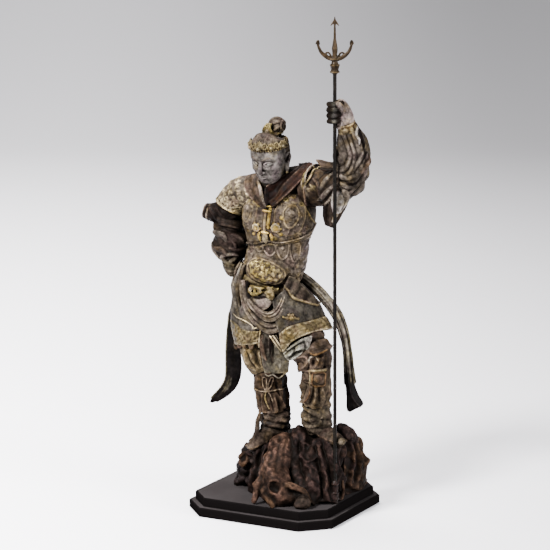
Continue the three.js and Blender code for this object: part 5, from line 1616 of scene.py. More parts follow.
def legs():
    """Trousers and gaiters, with the knee's cord on the right and the plaque on the left."""
    thigh_right = Form(RIGHT_THIGH, "gaiter_light", carve=thigh_folds(RIGHT_THIGH_FOLDS, 1), step=0.36)
    thigh_left = Form(LEFT_THIGH, "trousers", carve=thigh_folds(LEFT_THIGH_FOLDS, 2), step=0.36)
    gaiter_right = Form(RIGHT_GAITER, "gaiter", carve=flared(RIGHT_GAITER_FOLDS, 1), hollow=0.3, wall=1.3,
                        step=0.34)
    gaiter_left = Form(LEFT_GAITER, "left_gaiter", carve=flared(LEFT_GAITER_FOLDS, 2), hollow=0.3, wall=1.3,
                       step=0.34)
    made = [thigh_right.shape(), thigh_left.shape(), gaiter_right.shape(), gaiter_left.shape()]
    tuck = [(24.8, -16.2, 100.6), (27.6, -15.2, 99.4), (31, -12.8, 100.2), (33.7, -9.1, 102.2)]
    made.append(thigh_left.laid(tuck, [0.3, 0.7, 0.6, 0.3], "strap", 0.2))
    loop = [(25.2, -17.1, 94), (25.8, -16.8, 97.6), (28.2, -15.4, 98.8), (29.8, -14.6, 96)]
    made.append(thigh_left.laid(loop, [0.3, 0.5, 0.3], "pale_cloth", 0.2))
    made += knee_cord(gaiter_right) + knee_plaque(gaiter_left)
    made += [form.hoop(0.03, 0.9, "inner_cloth") for form in (gaiter_right, gaiter_left)]
    return made


def thigh_folds(lines, seed):
    """Folds where the viewer sees them, over slacker ones all round."""
    def carve(t, degrees, p):
        behind = rise(-np.sin(np.radians(degrees)), -0.2, 0.4)
        slack = (0.35 + 0.8 * behind) * drapery(p, (0.5, 0.2, 0.8), 9, seed)
        return (slack + folded(p, lines)) * rise(t, 0, 0.12) + 0.25 * wander(p, 5, seed)
    return carve


def flared(lines, seed):
    """Uneven pleats that open towards a gaiter's torn hem."""
    def carve(t, degrees, p):
        turn = np.radians(degrees)
        behind = rise(-np.sin(turn), -0.2, 0.4)
        fan = (0.25 + 0.7 * behind) * pleat(8 * turn + 2.2 * wander(p, 22, seed)) * rise(t, 0.1, 0.9)
        torn = (0.7 * np.cos(turn * 5 + seed) + 0.6 * np.cos(turn * 11 + 2)) * rise(t, 0.82, 1)
        return fan + torn + folded(p, lines) + 0.3 * wander(p, 6, seed) + 0.15 * wander(p, 3, seed)
    return carve


def knee_cord(form):
    """A cord round the gaiter, tied in a bow with two tall loops and two long ends."""
    cords = (
        ([(-14.4, -12, 73.8), (-9.3, -14.1, 73.3), (-5.2, -13.7, 73.4), (0, -10.6, 74.4), (4.4, -5, 75.4)],
         [0.45, 0.5, 0.5, 0.3], "left_gaiter"),
        ([(-5.4, -13.7, 73.7), (-7, -14.4, 77.7), (-7, -14.3, 81.6), (-5.2, -13.4, 81.2), (-5, -13.4, 74)],
         0.36, "left_gaiter"),
        ([(-4.6, -13.3, 73.7), (-2.3, -12.1, 77.1), (-1.4, -11.9, 81.2), (-3, -12.6, 81.6),
          (-4.4, -13.1, 74.6)], 0.36, "left_gaiter"),
        ([(-5.4, -13.7, 72.8), (-5.4, -13.6, 67.9), (-3.6, -12.9, 62)], [0.4, 0.5, 0.3], "border"),
        ([(-4.1, -13, 73.1), (-2.6, -12.3, 70.3), (-1.4, -11.7, 66)], [0.4, 0.5, 0.3], "left_gaiter"),
    )
    made = [form.laid(path, radii, paint, 0.7) for path, radii, paint in cords]
    made.append(form.boss(*form.seen([(-5, -13.5, 73.4)])[0], 1.0, "border", 0.9))
    return made


def knee_plaque(form):
    """A square plaque in a moulded frame, held on the shin by straps."""
    moulding = [(27.3, -16.5, 88.8), (30.4, -14.4, 89), (33.1, -11.7, 88.4), (33.4, -11.7, 84.8),
                (33.1, -11.7, 81.1), (30.2, -14.4, 80.8),
                  (27.3, -16.5, 81.5), (27.1, -16.5, 85), (27.3, -16.5, 88.8)]
    made = [form.laid(moulding, 0.42, "strap", 0.5)]
    made.append(form.boss(*form.seen([(30.3, -14.4, 85)])[0], 2.6, "gaiter", 0.35))
    for path, radii, paint, lift in (
        ([(25.7, -16.8, 90), (25.8, -16.8, 85), (25.8, -16.8, 80.6)], [0.4, 0.5, 0.4], "border", 0.5),
        ([(21.4, -17.7, 83.9), (24.7, -17.3, 83.2), (27.1, -16.1, 82.3)], [0.4, 0.5, 0.4], "gaiter", 0.8),
        ([(24.8, -17, 90.2), (28.4, -16, 90.4), (33.6, -11, 89.8)], [0.5, 0.7, 0.5], "border", 0.5),
        ([(26, -16.6, 80), (25.6, -16.8, 75.6), (22.3, -17.4, 70)], [0.3, 0.55, 0.3], "strap", 0.5),
    ):
        made.append(form.laid(path, radii, paint, lift))
    return made


# Boots: a creased ankle and a foot each

def ankle_creases(t, degrees, p):
    return 0.9 * drapery(p, (0.25, 0.1, 0.95), 5.0, 3, 2.8) + 0.6 * wander(p, 5) + 0.3 * wander(p, 2.6, 4)


def foot_creases(t, degrees, p):
    return 0.5 * drapery(p, (0.5, 0.8, 0.2), 5, 2, 2.4) + 0.45 * wander(p, 5) + 0.25 * wander(p, 2.6, 4)


def boots():
    ankle_right = [[-5, -3, 61, 8, 8.2], [-4.6, -2.8, 54.5, 8.8, 8.8], [-5.4, -2.5, 48.5, 8.2, 8.6],
                   [-6.2, -2.5, 43, 7.6, 8.8]]
    foot_right = [[-6.4, 6.5, 43, 5, 4.6], [-7, -2, 43.5, 6.4, 5.6], [-8, -11, 43.3, 6, 5.2],
                  [-9.4, -19, 41.6, 5, 3.8],
                  [-10.4, -25.5, 40, 2.8, 2.1]]
    ankle_left = [[23.4, -5, 71, 7.8, 8.2], [23.7, -4.4, 64, 8.2, 8.6], [23.5, -4, 58, 9.2, 9.2],
                  [25, -3.4, 50, 7.4, 8]]
    foot_left = [[15, 3, 48.5, 4.2, 4], [24, -2, 49.5, 5.8, 5.2], [33, -6.6, 49, 5.6, 4.8],
                 [40.4, -10.2, 48, 4.6, 3.7],
                 [45.5, -12.8, 47, 2.6, 2.2]]
    right = Form(foot_right, "boot", front=UP, carve=foot_creases, caps=(0.18, 0.2), step=0.35)
    left = Form(foot_left, "boot", front=UP, carve=foot_creases, caps=(0.18, 0.2), step=0.35)
    upper_right = Form(ankle_right, "boot", carve=ankle_creases, step=0.35)
    upper_left = Form(ankle_left, "boot_light", carve=ankle_creases, step=0.35)
    made = [right.shape(), left.shape(), upper_right.shape(), upper_left.shape()]
    shin = [(-10, -12, 60), (-11.5, -13, 54), (-11, -15, 48), (-11.5, -21, 43.5)]
    made.append(strand(shin, [0.9, 1.5, 1.6, 1.0], "boot"))
    for path, radii, lift in (
        ([(18, -14, 63), (24, -13, 59), (31, -10, 61)], [0.6, 1.3, 1.1, 0.6], 0.0),
        ([(28, -12, 61), (30, -12, 58), (27, -13, 56)], [0.6, 1.1, 0.6], 0.1),
        ([(17, -14, 58), (24, -13, 55), (31, -10, 57)], [0.5, 1.2, 0.6], 0.1),
    ):
        made.append(upper_left.laid(path, radii, "boot_light", lift))
    for form in (right, left):
        made.append(form.cord([(0.25, 172), (0.6, 176), (0.93, 168)], 0.5, "gaiter", 0.0))
        made.append(form.cord([(0.25, 8), (0.6, 4), (0.93, 12)], 0.5, "gaiter", 0.0))
    # A pale ball on the left toe's tip: a painted highlight
    made.append(ball((44.4, -12.6, 48.2), (2.6, 2.4, 2.2), "pale_cloth"))
    return made


# Ribbons that stream down either side

RIGHT_RIBBON = [
    [-30, 4, 132, 3, 1.5],
    [-36.5, 4.5, 117, 3, 1.2],
    [-38, 4.5, 107, 3.2, 1.1],
    [-38.5, 4.5, 97.5, 3.8, 1],
    [-37.6, 3.8, 89, 4.5, 1],
    [-36.7, 2.6, 81, 4.8, 1],
    [-37.2, 1, 73, 4.4, 1],
    [-41, -1.5, 66.5, 3.5, 1],
    [-48.5, -5.5, 59.5, 1.8, 1],
]
LEFT_RIBBON = [
    [1.5, 9, 142.5, 3.2, 1.8],
    [12, 9.5, 136.5, 3.3, 1.5],
    [22.4, 9.5, 128, 3.3, 1.3],
    [30.2, 9.5, 119, 3.2, 1.1],
    [34.8, 9.5, 108.5, 2.9, 1],
    [36.9, 9.8, 98, 2.5, 1],
    [37.8, 10, 88, 2.9, 1],
    [38.8, 10, 78, 3.6, 1.3],
]


def right_ribbon():
    """A dark ribbon, its dark paint partly painted shade where it hangs behind his hip, with a channel down
    its face, edged cords and a paler end.
    """
    channel = lambda t, d, p: -0.45 * bell(np.sin(np.radians(d)) - 1, 0.25) + 0.12 * wander(p, 9)
    ribbon = Form(RIGHT_RIBBON, "ribbon", front=TOWARDS_VIEW, carve=channel, caps=(0, 0.1), step=0.35)
    made = [ribbon.shape()]
    for points, radii, paint, lift, flat in (
        ([(0.15, 12), (0.4, 10), (0.7, 12), (0.97, 20)], 0.5, "ribbon_edge", 0.0, 0.8),
        ([(0.3, 168), (0.5, 170), (0.7, 168), (0.96, 160)], 0.4, "ribbon", 0.1, 0.8),
        ([(0.68, 50), (0.78, 64), (0.88, 80), (0.97, 90)], [0.4, 1.5, 1.3, 0.6], "ribbon_edge", -0.5, 0.6),
        ([(0.72, 80), (0.8, 92), (0.9, 100)], [0.4, 0.9, 0.5], "ribbon_face", -0.3, 0.6),
    ):
        made.append(ribbon.cord(points, radii, paint, lift, flat))
    return made


def left_ribbon():
    """A pale ribbon with lines down its face and a dark end that is folded open."""
    uneven = lambda t, d, p: 0.1 * wander(p, 9)
    ribbon = Form(LEFT_RIBBON, "ribbon_face", front=TOWARDS_VIEW, carve=uneven, step=0.35)
    made = [ribbon.shape()]
    for degrees, radius, paint in (
        (22, 0.55, "ribbon"),
        (62, 0.4, "shadow"),
        (96, 0.5, "ribbon_face"),
        (122, 0.35, "shadow"),
        (160, 0.5, "ribbon_edge"),
    ):
        line = [(t, degrees) for t in (0.05, 0.35, 0.7, 1)]
        made.append(ribbon.cord(line, [0.5 * radius, radius, radius], paint, 0.1))
    inner = [(35.6, 8, 84), (36.6, 7.6, 77), (37.4, 7.4, 71), (37.8, 7, 64), (38.4, 7.6, 61)]
    ridge = [(38.4, 7.6, 84), (39.8, 7.4, 77), (42.2, 7, 70.4), (45.6, 8, 65.6), (46.4, 9, 64.6)]
    outer = [(40.4, 11, 84), (42, 11, 77), (44.8, 11, 71), (47, 11.4, 67.6), (47.4, 11, 66)]
    foot = [(37.2, 9, 80), (37.8, 9.6, 74), (38.2, 10, 68), (38.4, 9.4, 62), (38.6, 8.6, 60.6)]
    made.append(panel(ridge, outer, "ribbon", thick=1.0, crease=drape(1, 0.3, 2)))
    made.append(panel(inner, ridge, "ribbon", thick=1.0))
    made.append(panel(foot, ridge, "shadow", thick=0.8))
    made.append(strand(ridge, [0.4, 0.5, 0.5, 0.4], "ribbon"))
    return made


def streamers():
    return right_ribbon() + left_ribbon()


# Trident: butt cap, shaft, socket, a long barbed middle prong and two curved side prongs

SHAFT_FOOT = np.array([42.2, -16, 11])
SHAFT_TOP = 289.0
SHAFT_RADIUS = 1.1
BUTT_TOP = 14
SOCKET = SHAFT_TOP - 34
# Heights above the foot, and the radius there in shaft radii
SHAFT_PROFILE = [
    (0.05, 1.5), (3, 1.9), (6, 1.7), (10, 1.75), (13, 1.6), (BUTT_TOP, 1.0),
    (SOCKET, 1.0), (SOCKET + 1.4, 2.2), (SOCKET + 3, 2.0), (SOCKET + 5, 2.5), (SOCKET + 7.5, 1.5),
    (SOCKET + 11, 1.2), (SOCKET + 15, 1.6), (SOCKET + 21, 0.7), (SHAFT_TOP - 5, 0.5),
                 (SHAFT_TOP - 2.5, 0.2),
]
COLLAR_HEIGHT = 0.9
BUTT_COLLARS = (2.6, 6, 11.5)
BUTT_COLLAR_RADIUS = 2.45
SOCKET_COLLARS = (1.2, 5.2, 8.6)
SOCKET_COLLAR_RADIUS = 2.9
# Side prong, hook, scroll and barb: the height that they are measured from, reach and height of each point,
# radii, flatness and step
BLADES = (
    (SOCKET, ((0, 8.5), (4.2, 10), (7.8, 13), (9.6, 17), (10, 18.5)), [1.2, 1.3, 1.05, 0.75, 0.4], 0.7,
     0.25),
    (SOCKET, ((8.6, 17.2), (9.6, 19.4), (11, 17.4)), [0.3, 0.75, 0.3], 0.6, 0.2),
    (SOCKET, ((1.2, 9), (3.2, 12.4), (5, 12.6), (4.6, 11.2)), [0.5, 0.6, 0.5, 0.5], 0.7, 0.2),
    (SHAFT_TOP, ((0, -2.2), (1.4, -4.6), (2.6, -6)), [0.5, 0.55, 0.2], 0.7, 0.2),
)


def on_shaft(reach, height, forward=0.0):
    """A place by the leaning shaft: reach in the blades' plane, height above the foot, forward of it."""
    lean = (GRIP - SHAFT_FOOT) / (GRIP[2] - SHAFT_FOOT[2])
    return SHAFT_FOOT + lean * height + reach * GRIP_ASIDE + forward * GRIP_FORWARD


def trident():
    """Shaft with butt and socket, their collars, the blades on either side and the middle point."""
    made = []
    for (low, wide), (high, narrow) in zip(SHAFT_PROFILE, SHAFT_PROFILE[1:]):
        paint = "butt" if low < BUTT_TOP else "prong" if low >= SOCKET else "trident"
        made.append(turned(low, high, wide * SHAFT_RADIUS, narrow * SHAFT_RADIUS, paint))
    for low in BUTT_COLLARS:
        made.append(turned(low, low + COLLAR_HEIGHT, BUTT_COLLAR_RADIUS, BUTT_COLLAR_RADIUS, "butt"))
    for above in SOCKET_COLLARS:
        low = SOCKET + above
        made.append(turned(low, low + COLLAR_HEIGHT, SOCKET_COLLAR_RADIUS, SOCKET_COLLAR_RADIUS,
                           "trident_gold"))
    off_blades = on_shaft(0, 0, 1) - on_shaft(0, 0)
    for side in (-1, 1):
        for base, line, radii, flat, step in BLADES:
            path = [on_shaft(side * reach, base + up) for reach, up in line]
            made.append(strand(path, radii, "prong", flat, off_blades, step))
    point = [on_shaft(0, SHAFT_TOP - down) for down in (6, 3, 0.3)]
    made.append(strand(point, [0.7, 0.7, 0.15], "prong", 0.7, off_blades, 0.2))
    return made


def turned(low, high, wide, narrow, paint):
    """A round length of the shaft between two heights."""
    sides = 20
    rings = max(int((high - low) / 0.5), 2)
    angle = np.arange(sides) / sides * TAU
    points = []
    for share in np.linspace(0, 1, rings):
        radius = wide + (narrow - wide) * share
        centre = on_shaft(0, low + (high - low) * share)
        points.append(centre + radius * np.stack([np.cos(angle), np.sin(angle), 0 * angle], 1))
    vertices = np.concatenate([np.concatenate(points), [on_shaft(0, low)], [on_shaft(0, high)]])
    return Shape(vertices, grid_triangles(rings, sides), paint)


# Rock: gnarled lumps that lean on each other, with ridges, pierced hollows and knots like old root wood

ROCK_MASSES = [
    ([[-22.5, 0, 11, 10, 9], [-22, -1, 17, 9, 8.6], [-20.5, -3, 24, 8, 8], [-17.4, -5.4, 30, 7, 7.6],
      [-12.6, -7, 36, 5, 7]], "rock_dark"),
    ([[-3, -7, 11, 14, 17], [-3.5, -8.4, 24, 12, 15.5], [-6, -9, 36, 10.5, 13.6], [-7.5, -9, 42, 8.5, 13]],
     "rock"),
    ([[20, -12, 11, 15, 16], [19, -12, 28, 12, 13], [17, -11.5, 44, 7.5, 9], [15.5, -10.5, 54, 3, 4.5]],
     "rock"),
    ([[33, -12, 11, 10.4, 13.4], [32, -10, 24, 10.4, 12.8], [31, -7, 38, 10.4, 11.4], [29, -4.5, 48, 9, 9]],
     "rock"),
    ([[26, -24, 11, 9.5, 9.4], [25.5, -22, 18, 9, 8.8], [24, -18.5, 27, 7.5, 8], [22.5, -16, 36, 5.5, 6.5],
      [22, -15, 43, 4, 5]], "rock"),
    ([[30, 14, 11, 12, 13], [31, 14, 28, 10, 11], [33, 13, 44, 7, 7], [33, 13, 52.5, 4, 4.5]], "rock"),
    ([[34.4, 18, 11, 9, 17], [33.4, 18, 24, 8.6, 16], [33.2, 18, 35, 8, 12], [32, 17, 42, 5, 8]],
     "rock_light"),
    ([[-2, 18, 11, 22, 16], [-1, 16, 24, 17, 13], [0, 13, 36, 12, 10], [1, 11, 43, 8, 7]], "rock"),
]
BOULDER = [[16, -29, 11, 10, 8], [13.5, -30.5, 17, 11.5, 9.5], [10.6, -30.6, 24, 10.6, 10],
           [7.8, -26.8, 31, 9.2, 9.4], [7.4, -21.6, 37, 8.2, 8.6],
           [8.6, -16.6, 43, 7.2, 7.6], [8.8, -12.6, 49, 6, 6]]
ROCK_RIDGES = [
    ([(22.2, -19.9, 43.2), (23.2, -19.3, 46), (25.6, -18, 44.5), (27.1, -17.2, 40.2), (26.6, -17.5, 36.2),
      (24.5, -18.6, 35.9),
      (23, -19.4, 39), (22.2, -19.9, 43.2)], 0.8, 1.6),
    ([(24.3, -18.7, 42), (25, -18.7, 38.6)], 1.0, -3.0),
    ([(24.2, -19.9, 35.6), (27.2, -20.5, 30.6), (29, -21.9, 25), (28.6, -24.4, 17)], 2.2, 2.2),
    ([(16.9, -13.6, 46), (19.3, -16.9, 39.7), (21.7, -20.1, 32.8), (24.6, -23.1, 22)], 1.0, -3.0),
    ([(19.6, -14, 51), (21, -16.9, 43), (22, -20.1, 36)], 1.3, 1.6),
    ([(27, -15, 47.8), (29.4, -18.3, 37.7), (31.3, -20.6, 28.1), (33.7, -22.7, 14)], 1.5, 2.2),
    ([(28.6, -14.6, 46), (31.6, -17.6, 38), (34.4, -20, 27), (37, -22, 14)], 0.9, -2.6),
    ([(30, -14.5, 50), (34, -16.9, 39.8), (37.4, -19.6, 28.6), (39.9, -21.7, 14)], 1.4, 2.2),
    ([(31, -14, 49), (35.8, -16, 41), (39.2, -18, 30), (41.4, -20, 14)], 0.9, -2.4),
    ([(31.6, -13.7, 52), (37.6, -15, 45.3), (41.1, -16.5, 37.5), (43, -18.9, 26.1), (44, -20.6, 13)], 1.5,
     2.2),
    ([(43.2, -14.2, 43.4), (44.6, -16.9, 32), (46, -19.5, 20.6), (46, -19.5, 13)], 1.2, 1.6),
    ([(44.2, -13, 44), (46, -15, 33), (47, -18, 20)], 0.8, -2.2),
    ([(45.3, -11.9, 44.3), (47.1, -13.3, 33.9), (48.2, -16.1, 23.7)], 1.2, 1.6),
    ([(46.4, -2.3, 45.8), (48.4, -3.5, 38.4), (48.3, -5.8, 29.8), (48.2, -8.1, 21.1)], 1.3, 1.8),
    ([(47.6, -0.6, 44), (49.4, -0.6, 37), (49, -2, 29), (49.4, -5, 20)], 0.9, -2.4),
    ([(48.7, 1.2, 46.1), (50.3, 2.1, 36.7), (49.7, 0.7, 28.4), (50.6, -2.3, 18)], 1.3, 2.0),
    ([(49.2, 4.4, 44), (50.4, 5.6, 35), (49.6, 4, 27), (50.8, -1, 17)], 0.9, -2.2),
    ([(49.6, 7.4, 41.7), (50.2, 8.9, 33.8), (49.2, 7.2, 26.7), (51, 0.2, 14)], 1.2, 1.8),
    ([(-12.7, -20.4, 40), (-16, -19, 34), (-15.6, -18, 28)], 1.4, 1.6),
    ([(-14, -20, 36), (-12, -19, 30), (-12.6, -19, 24)], 1.0, -2.4),
    ([(-8, -20, 40), (-9, -21, 33), (-8.4, -24, 25), (-8, -27, 15)], 1.4, 1.8),
    ([(-5.6, -20, 40), (-6, -22, 33), (-5, -26, 24), (-5, -30, 14)], 1.0, -2.4),
    ([(-3, -20, 41), (-3, -24, 33), (-2, -28, 24)], 1.3, 1.8),
    ([(-19.9, -19.8, 22), (-16, -19, 24.6), (-12, -18, 23)], 0.9, -2.2),
    ([(-24, -17.5, 19), (-18, -19, 17.6), (-12, -20, 18)], 0.9, -2.0),
]
BOULDER_RIDGES = [
    ([(3.4, -23.1, 47), (4.9, -31.5, 37.7), (5.1, -38.1, 30)], 0.9, 0.9),
    ([(5.2, -23, 47), (6.4, -31, 38), (7, -38, 32)], 0.6, -1.0),
    ([(7.2, -23.4, 47), (7.9, -30.9, 37.9), (9, -37.2, 32.3), (8, -40, 28)], 0.9, 0.9),
    ([(8.8, -22.6, 47), (10, -30, 38), (11.2, -36, 32)], 0.5, -1.0),
    ([(10.4, -21.7, 48), (12.1, -28.7, 37.9), (13.4, -34.8, 32.3), (14.8, -38.6, 28.5)], 0.9, 0.9),
    ([(11.6, -20.6, 48), (13, -27, 38), (15, -33, 31)], 0.6, -1.2),
    ([(12.5, -19.4, 49), (13.8, -25.5, 38.6), (15.6, -30.2, 32.6), (19.6, -32.6, 28.9)], 0.9, 1.0),
    ([(6, -35.4, 33.6), (8.7, -38.5, 29.8), (8.6, -42, 26.7)], 0.6, -1.6),
    ([(11.5, -43.8, 22.6), (12.6, -43.2, 26.6), (15.4, -42.3, 28), (18.5, -39.4, 24.9), (19.1, -38.6, 21.1),
      (16.7, -41, 19), (13.6, -43.8, 19.6),
      (11.5, -43.8, 22.6)], 0.9, 1.4),
    ([(13.4, -42.5, 24.2), (15.4, -41.5, 23.2), (17.6, -39.5, 21.9)], 2.0, -6.5),
    ([(9.1, -42.7, 27.6), (9.5, -42.7, 27.2)], 0.7, -2.4),
    ([(12, -45.7, 21.4), (12.6, -45.7, 21.2)], 0.8, -2.4),
    ([(3, -40, 27), (4, -42, 23), (4, -44, 18)], 1.4, 1.6),
    ([(7, -42, 25), (6.6, -44, 20), (7, -46, 15)], 1.2, -2.4),
]


def gnarled(seed, lines, depth=1.0):
    """Uneven swellings, with ridges and clefts where the viewer sees them and others all round the back."""
    def carve(t, degrees, p):
        turn = np.radians(degrees)
        behind = rise(-((p - p.mean(0)) @ TO_CAMERA), -2, 6)
        around = (0.3 + 0.8 * behind) * pleat(4 * turn + 1.4 * t + 2.4 * wander(p, 24, seed))
        bends = np.stack([wander(p, 14, seed + 2), wander(p, 14, seed + 5), wander(p, 16, seed + 7)], 1)
        cut = depth * folded(p + 0.7 * bends, lines)
        lumps = 1.3 * wander(p, 13, seed + 1) + 0.7 * wander(p, 6.5, seed) + 0.35 * wander(p, 3.2, seed + 4)
        return around + cut + lumps
    return carve


def rock():
    """Leaning lumps, the pierced boulder in front, roots, pebbles, and hollows painted dark as shade."""
    made = []
    for k, (rows, paint) in enumerate(ROCK_MASSES):
        made.append(Form(rows, paint, carve=gnarled(k, ROCK_RIDGES, 1.25), caps=(0, 0.22),
                         step=0.42).shape())
    made.append(Form(BOULDER, "boulder", carve=gnarled(9, BOULDER_RIDGES, 0.3), caps=(0, 0.2),
                     step=0.4).shape())
    made.append(ball((15.4, -36.5, 23.2), (3, 2.6, 2.4), "shadow"))
    for points, radii, paint in (
        ([(11.5, -41.8, 22.6), (12.6, -41.4, 26.4), (15.4, -40.3, 27.6), (18.5, -38, 24.9),
          (19.1, -37.6, 21.1), (16.7, -40, 19), (13.6, -41.8, 19.6),
          (11.5, -41.8, 22.6)], 0.8, "boulder"),
        ([(17, -36.6, 24), (22.5, -35.4, 24), (28.6, -33.7, 21.8), (32.5, -30.6, 17.3), (34.4, -28, 11)],
         [2.8, 2.2, 1.6, 1.3, 1.2], "rock_light"),
        ([(3.6, -35.6, 27), (2.4, -38.6, 22.7), (2, -39.6, 18.1), (0.8, -40, 11.4)], [2.0, 2.6, 2.2, 1.6],
         "boulder"),
        ([(8, -38.6, 23.9), (8.4, -40, 19.3), (11.4, -41, 15.3), (15, -41, 11)], [2.2, 2.4, 2.3, 2.0],
         "rock_light"),
        ([(-22.9, -15, 29), (-22.4, -14.7, 32), (-19.3, -14.2, 33.4), (-17.4, -14.4, 31),
          (-18.4, -15.2, 27.4), (-21.4, -15.4, 26.8), (-22.9, -15, 29)],
         1.4, "rock_light"),
        ([(-19.3, -14, 33.4), (-15.6, -14.4, 34.4), (-12, -15, 33)], [1.5, 1.9, 1.4], "rock"),
        ([(43.6, -8.6, 24), (44.4, -9.4, 17.7), (43.6, -10, 12)], [0.8, 1.1, 1.3], "rock_light"),
        ([(31, 8, 52), (36, 9.6, 48), (41, 9, 44.6)], [2.2, 2.6, 1.8], "rock"),
    ):
        made.append(strand(points, radii, paint))
    made.append(ball((24.5, -31, 17), (6, 3.4, 5), "shadow"))
    made.append(ball((30.6, -34.6, 14.6), (4.8, 4.2, 4.2), "nugget"))
    made.append(ball((28.4, -36.4, 13.6), (2.4, 2.2, 2.6), "nugget"))
    made.append(ball((-20.4, -12.6, 30), (2.6, 2.6, 2.6), "shadow"))
    # Dark balls between the lumps: painted shade
    for x, y, z, size in ((-20.4, -9, 22, 3.2), (-15.4, -9.4, 22, 3), (-24.6, -7, 23, 3),
                          (-23, -8.6, 16.4, 3.2), (-17, -10.4, 16, 3.4),
                          (-13, -14, 29.6, 2.6)):
        made.append(ball((x, y - 1.6, z), (size, size, 0.8 * size), "rock_dark"))
    return weathered(made)


def weathered(shapes):
    """The same shapes with small uneven hollows all over."""
    for shape in shapes:
        p = shape.vertices
        shifts = np.stack([wander(p, 5, 11), wander(p, 5.5, 12), wander(p, 4.5, 13)], 1)
        small = np.stack([wander(p, 2.4, 14), wander(p, 2.2, 15), wander(p, 2.6, 16)], 1)
        shape.vertices = p + 0.55 * shifts + 0.22 * small
    return shapes


# Building a piece: its shapes are fused, smoothed, and given their paint and relief

def edges_of(mesh):
    """The pairs of vertices that the mesh's edges join."""
    ends = np.empty(2 * len(mesh.edges), np.int32)
    mesh.edges.foreach_get("vertices", ends)
    return ends.reshape(-1, 2)


def smoothed(values, edges, count, share=0.5):
    """Values averaged count times with their neighbours' along the edges."""
    total = len(values)
    a, b = edges.T
    degree = np.maximum(np.bincount(a, minlength=total) + np.bincount(b, minlength=total), 1)[:, None]
    for _ in range(count):
        near = np.stack([np.bincount(a, v[b], total) + np.bincount(b, v[a], total) for v in values.T], 1)
        values = values + share * (near / degree - values)
    return values


def fused(name, shapes, voxel):
    """One closed mesh that follows the outside of all the shapes."""
    vertices = np.concatenate([shape.vertices for shape in shapes]) * MM
    starts = np.cumsum([0] + [len(shape.vertices) for shape in shapes[:-1]])
    triangles = np.concatenate([shape.triangles + start for shape, start in zip(shapes, starts)])
    mesh = bpy.data.meshes.new(name)
    mesh.vertices.add(len(vertices))
    mesh.vertices.foreach_set("co", vertices.ravel().astype(np.float32))
    mesh.loops.add(3 * len(triangles))
    mesh.loops.foreach_set("vertex_index", triangles.ravel().astype(np.int32))
    mesh.polygons.add(len(triangles))
    mesh.polygons.foreach_set("loop_start", np.arange(0, 3 * len(triangles), 3, dtype=np.int32))
    mesh.update()
    mesh.validate()
    rough = bpy.data.objects.new(name + "_rough", mesh)
    bpy.context.collection.objects.link(rough)
    remesh = rough.modifiers.new("fuse", "REMESH")
    remesh.mode = "VOXEL"
    remesh.voxel_size = voxel * MM
    made = bpy.data.meshes.new_from_object(rough.evaluated_get(bpy.context.evaluated_depsgraph_get()))
    bpy.data.objects.remove(rough)
    bpy.data.meshes.remove(mesh)
    made.name = name
    return made


def painted(mesh, points, shapes, edges):
    """Gives each vertex the paint of the nearest shape, with a soft line between two paints."""
    where = np.concatenate([shape.vertices for shape in shapes])
    which = np.repeat(np.arange(len(shapes)), [len(shape.vertices) for shape in shapes])
    tree = kdtree.KDTree(len(where))
    for i, at in enumerate(where):
        tree.insert(at, i)
    tree.balance()
    nearest = which[[tree.find(at)[1] for at in points]]
    table = np.array([(*PAINTS[shape.paint][0], PAINTS[shape.paint][1]) for shape in shapes])
    colours = smoothed(table[nearest], edges, 1)
    attribute = mesh.color_attributes.new("paint", "FLOAT_COLOR", "POINT")
    attribute.data.foreach_set("color", colours.ravel().astype(np.float32))


def relief(mesh, points, edges):
    """Marks ridges above 0.5 and hollows below it: fine relief in red, broad relief in green."""
    normals = np.empty(3 * len(points), np.float32)
    mesh.vertex_normals.foreach_get("vector", normals)
    normals = normals.reshape(-1, 3)
    near = smoothed(points, edges, 5)
    far = smoothed(near, edges, 30)
    fine = np.sum(normals * (points - near), 1) / 0.12
    broad = np.sum(normals * (points - far), 1) / 0.7
    sharp = smoothed(np.stack([fine, broad], 1), edges, 1)
    marks = np.clip(0.5 + 0.5 * sharp, 0, 1)
    values = np.concatenate([marks, np.zeros((len(points), 1)), np.ones((len(points), 1))], 1)
    attribute = mesh.color_attributes.new("relief", "FLOAT_COLOR", "POINT")
    attribute.data.foreach_set("color", values.ravel().astype(np.float32))


# The share of each fused mesh's triangles that is kept
KEPT_SHARE = 0.47


def slimmed(made):
    """Leaves out triangles where the form is flattest, until the kept share is left."""
    full = made.data
    slim = made.modifiers.new("slim", "DECIMATE")
    slim.ratio = KEPT_SHARE
    mesh = bpy.data.meshes.new_from_object(made.evaluated_get(bpy.context.evaluated_depsgraph_get()))
    made.modifiers.remove(slim)
    made.data = mesh
    bpy.data.meshes.remove(full)
    mesh.name = made.name


def piece(name, shapes, voxel, node, material, smooth):
    """Makes a named piece from its shapes, in place of a solid of the part."""
    mesh = fused(name, shapes, voxel)
    edges = edges_of(mesh)
    points = np.empty(3 * len(mesh.vertices), np.float32)
    mesh.vertices.foreach_get("co", points)
    points = points.reshape(-1, 3).astype(float) / MM
    points = smoothed(points, edges, smooth)
    mesh.vertices.foreach_set("co", (points * MM).ravel().astype(np.float32))
    mesh.update()
    painted(mesh, points, shapes, edges)
    relief(mesh, points, edges)
    mesh.shade_smooth()
    mesh.materials.clear()
    mesh.materials.append(material)
    made = bpy.data.objects.new(name, mesh)
    bpy.context.collection.objects.link(made)
    slimmed(made)
    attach(made, "root")
    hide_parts(node)


# Materials

def new_material(name):
    """A material, its tree of nodes and its shader."""
    material = bpy.data.materials.new(name)
    material.use_nodes = True
    tree = material.node_tree
    return material, tree, tree.nodes["Principled BSDF"]


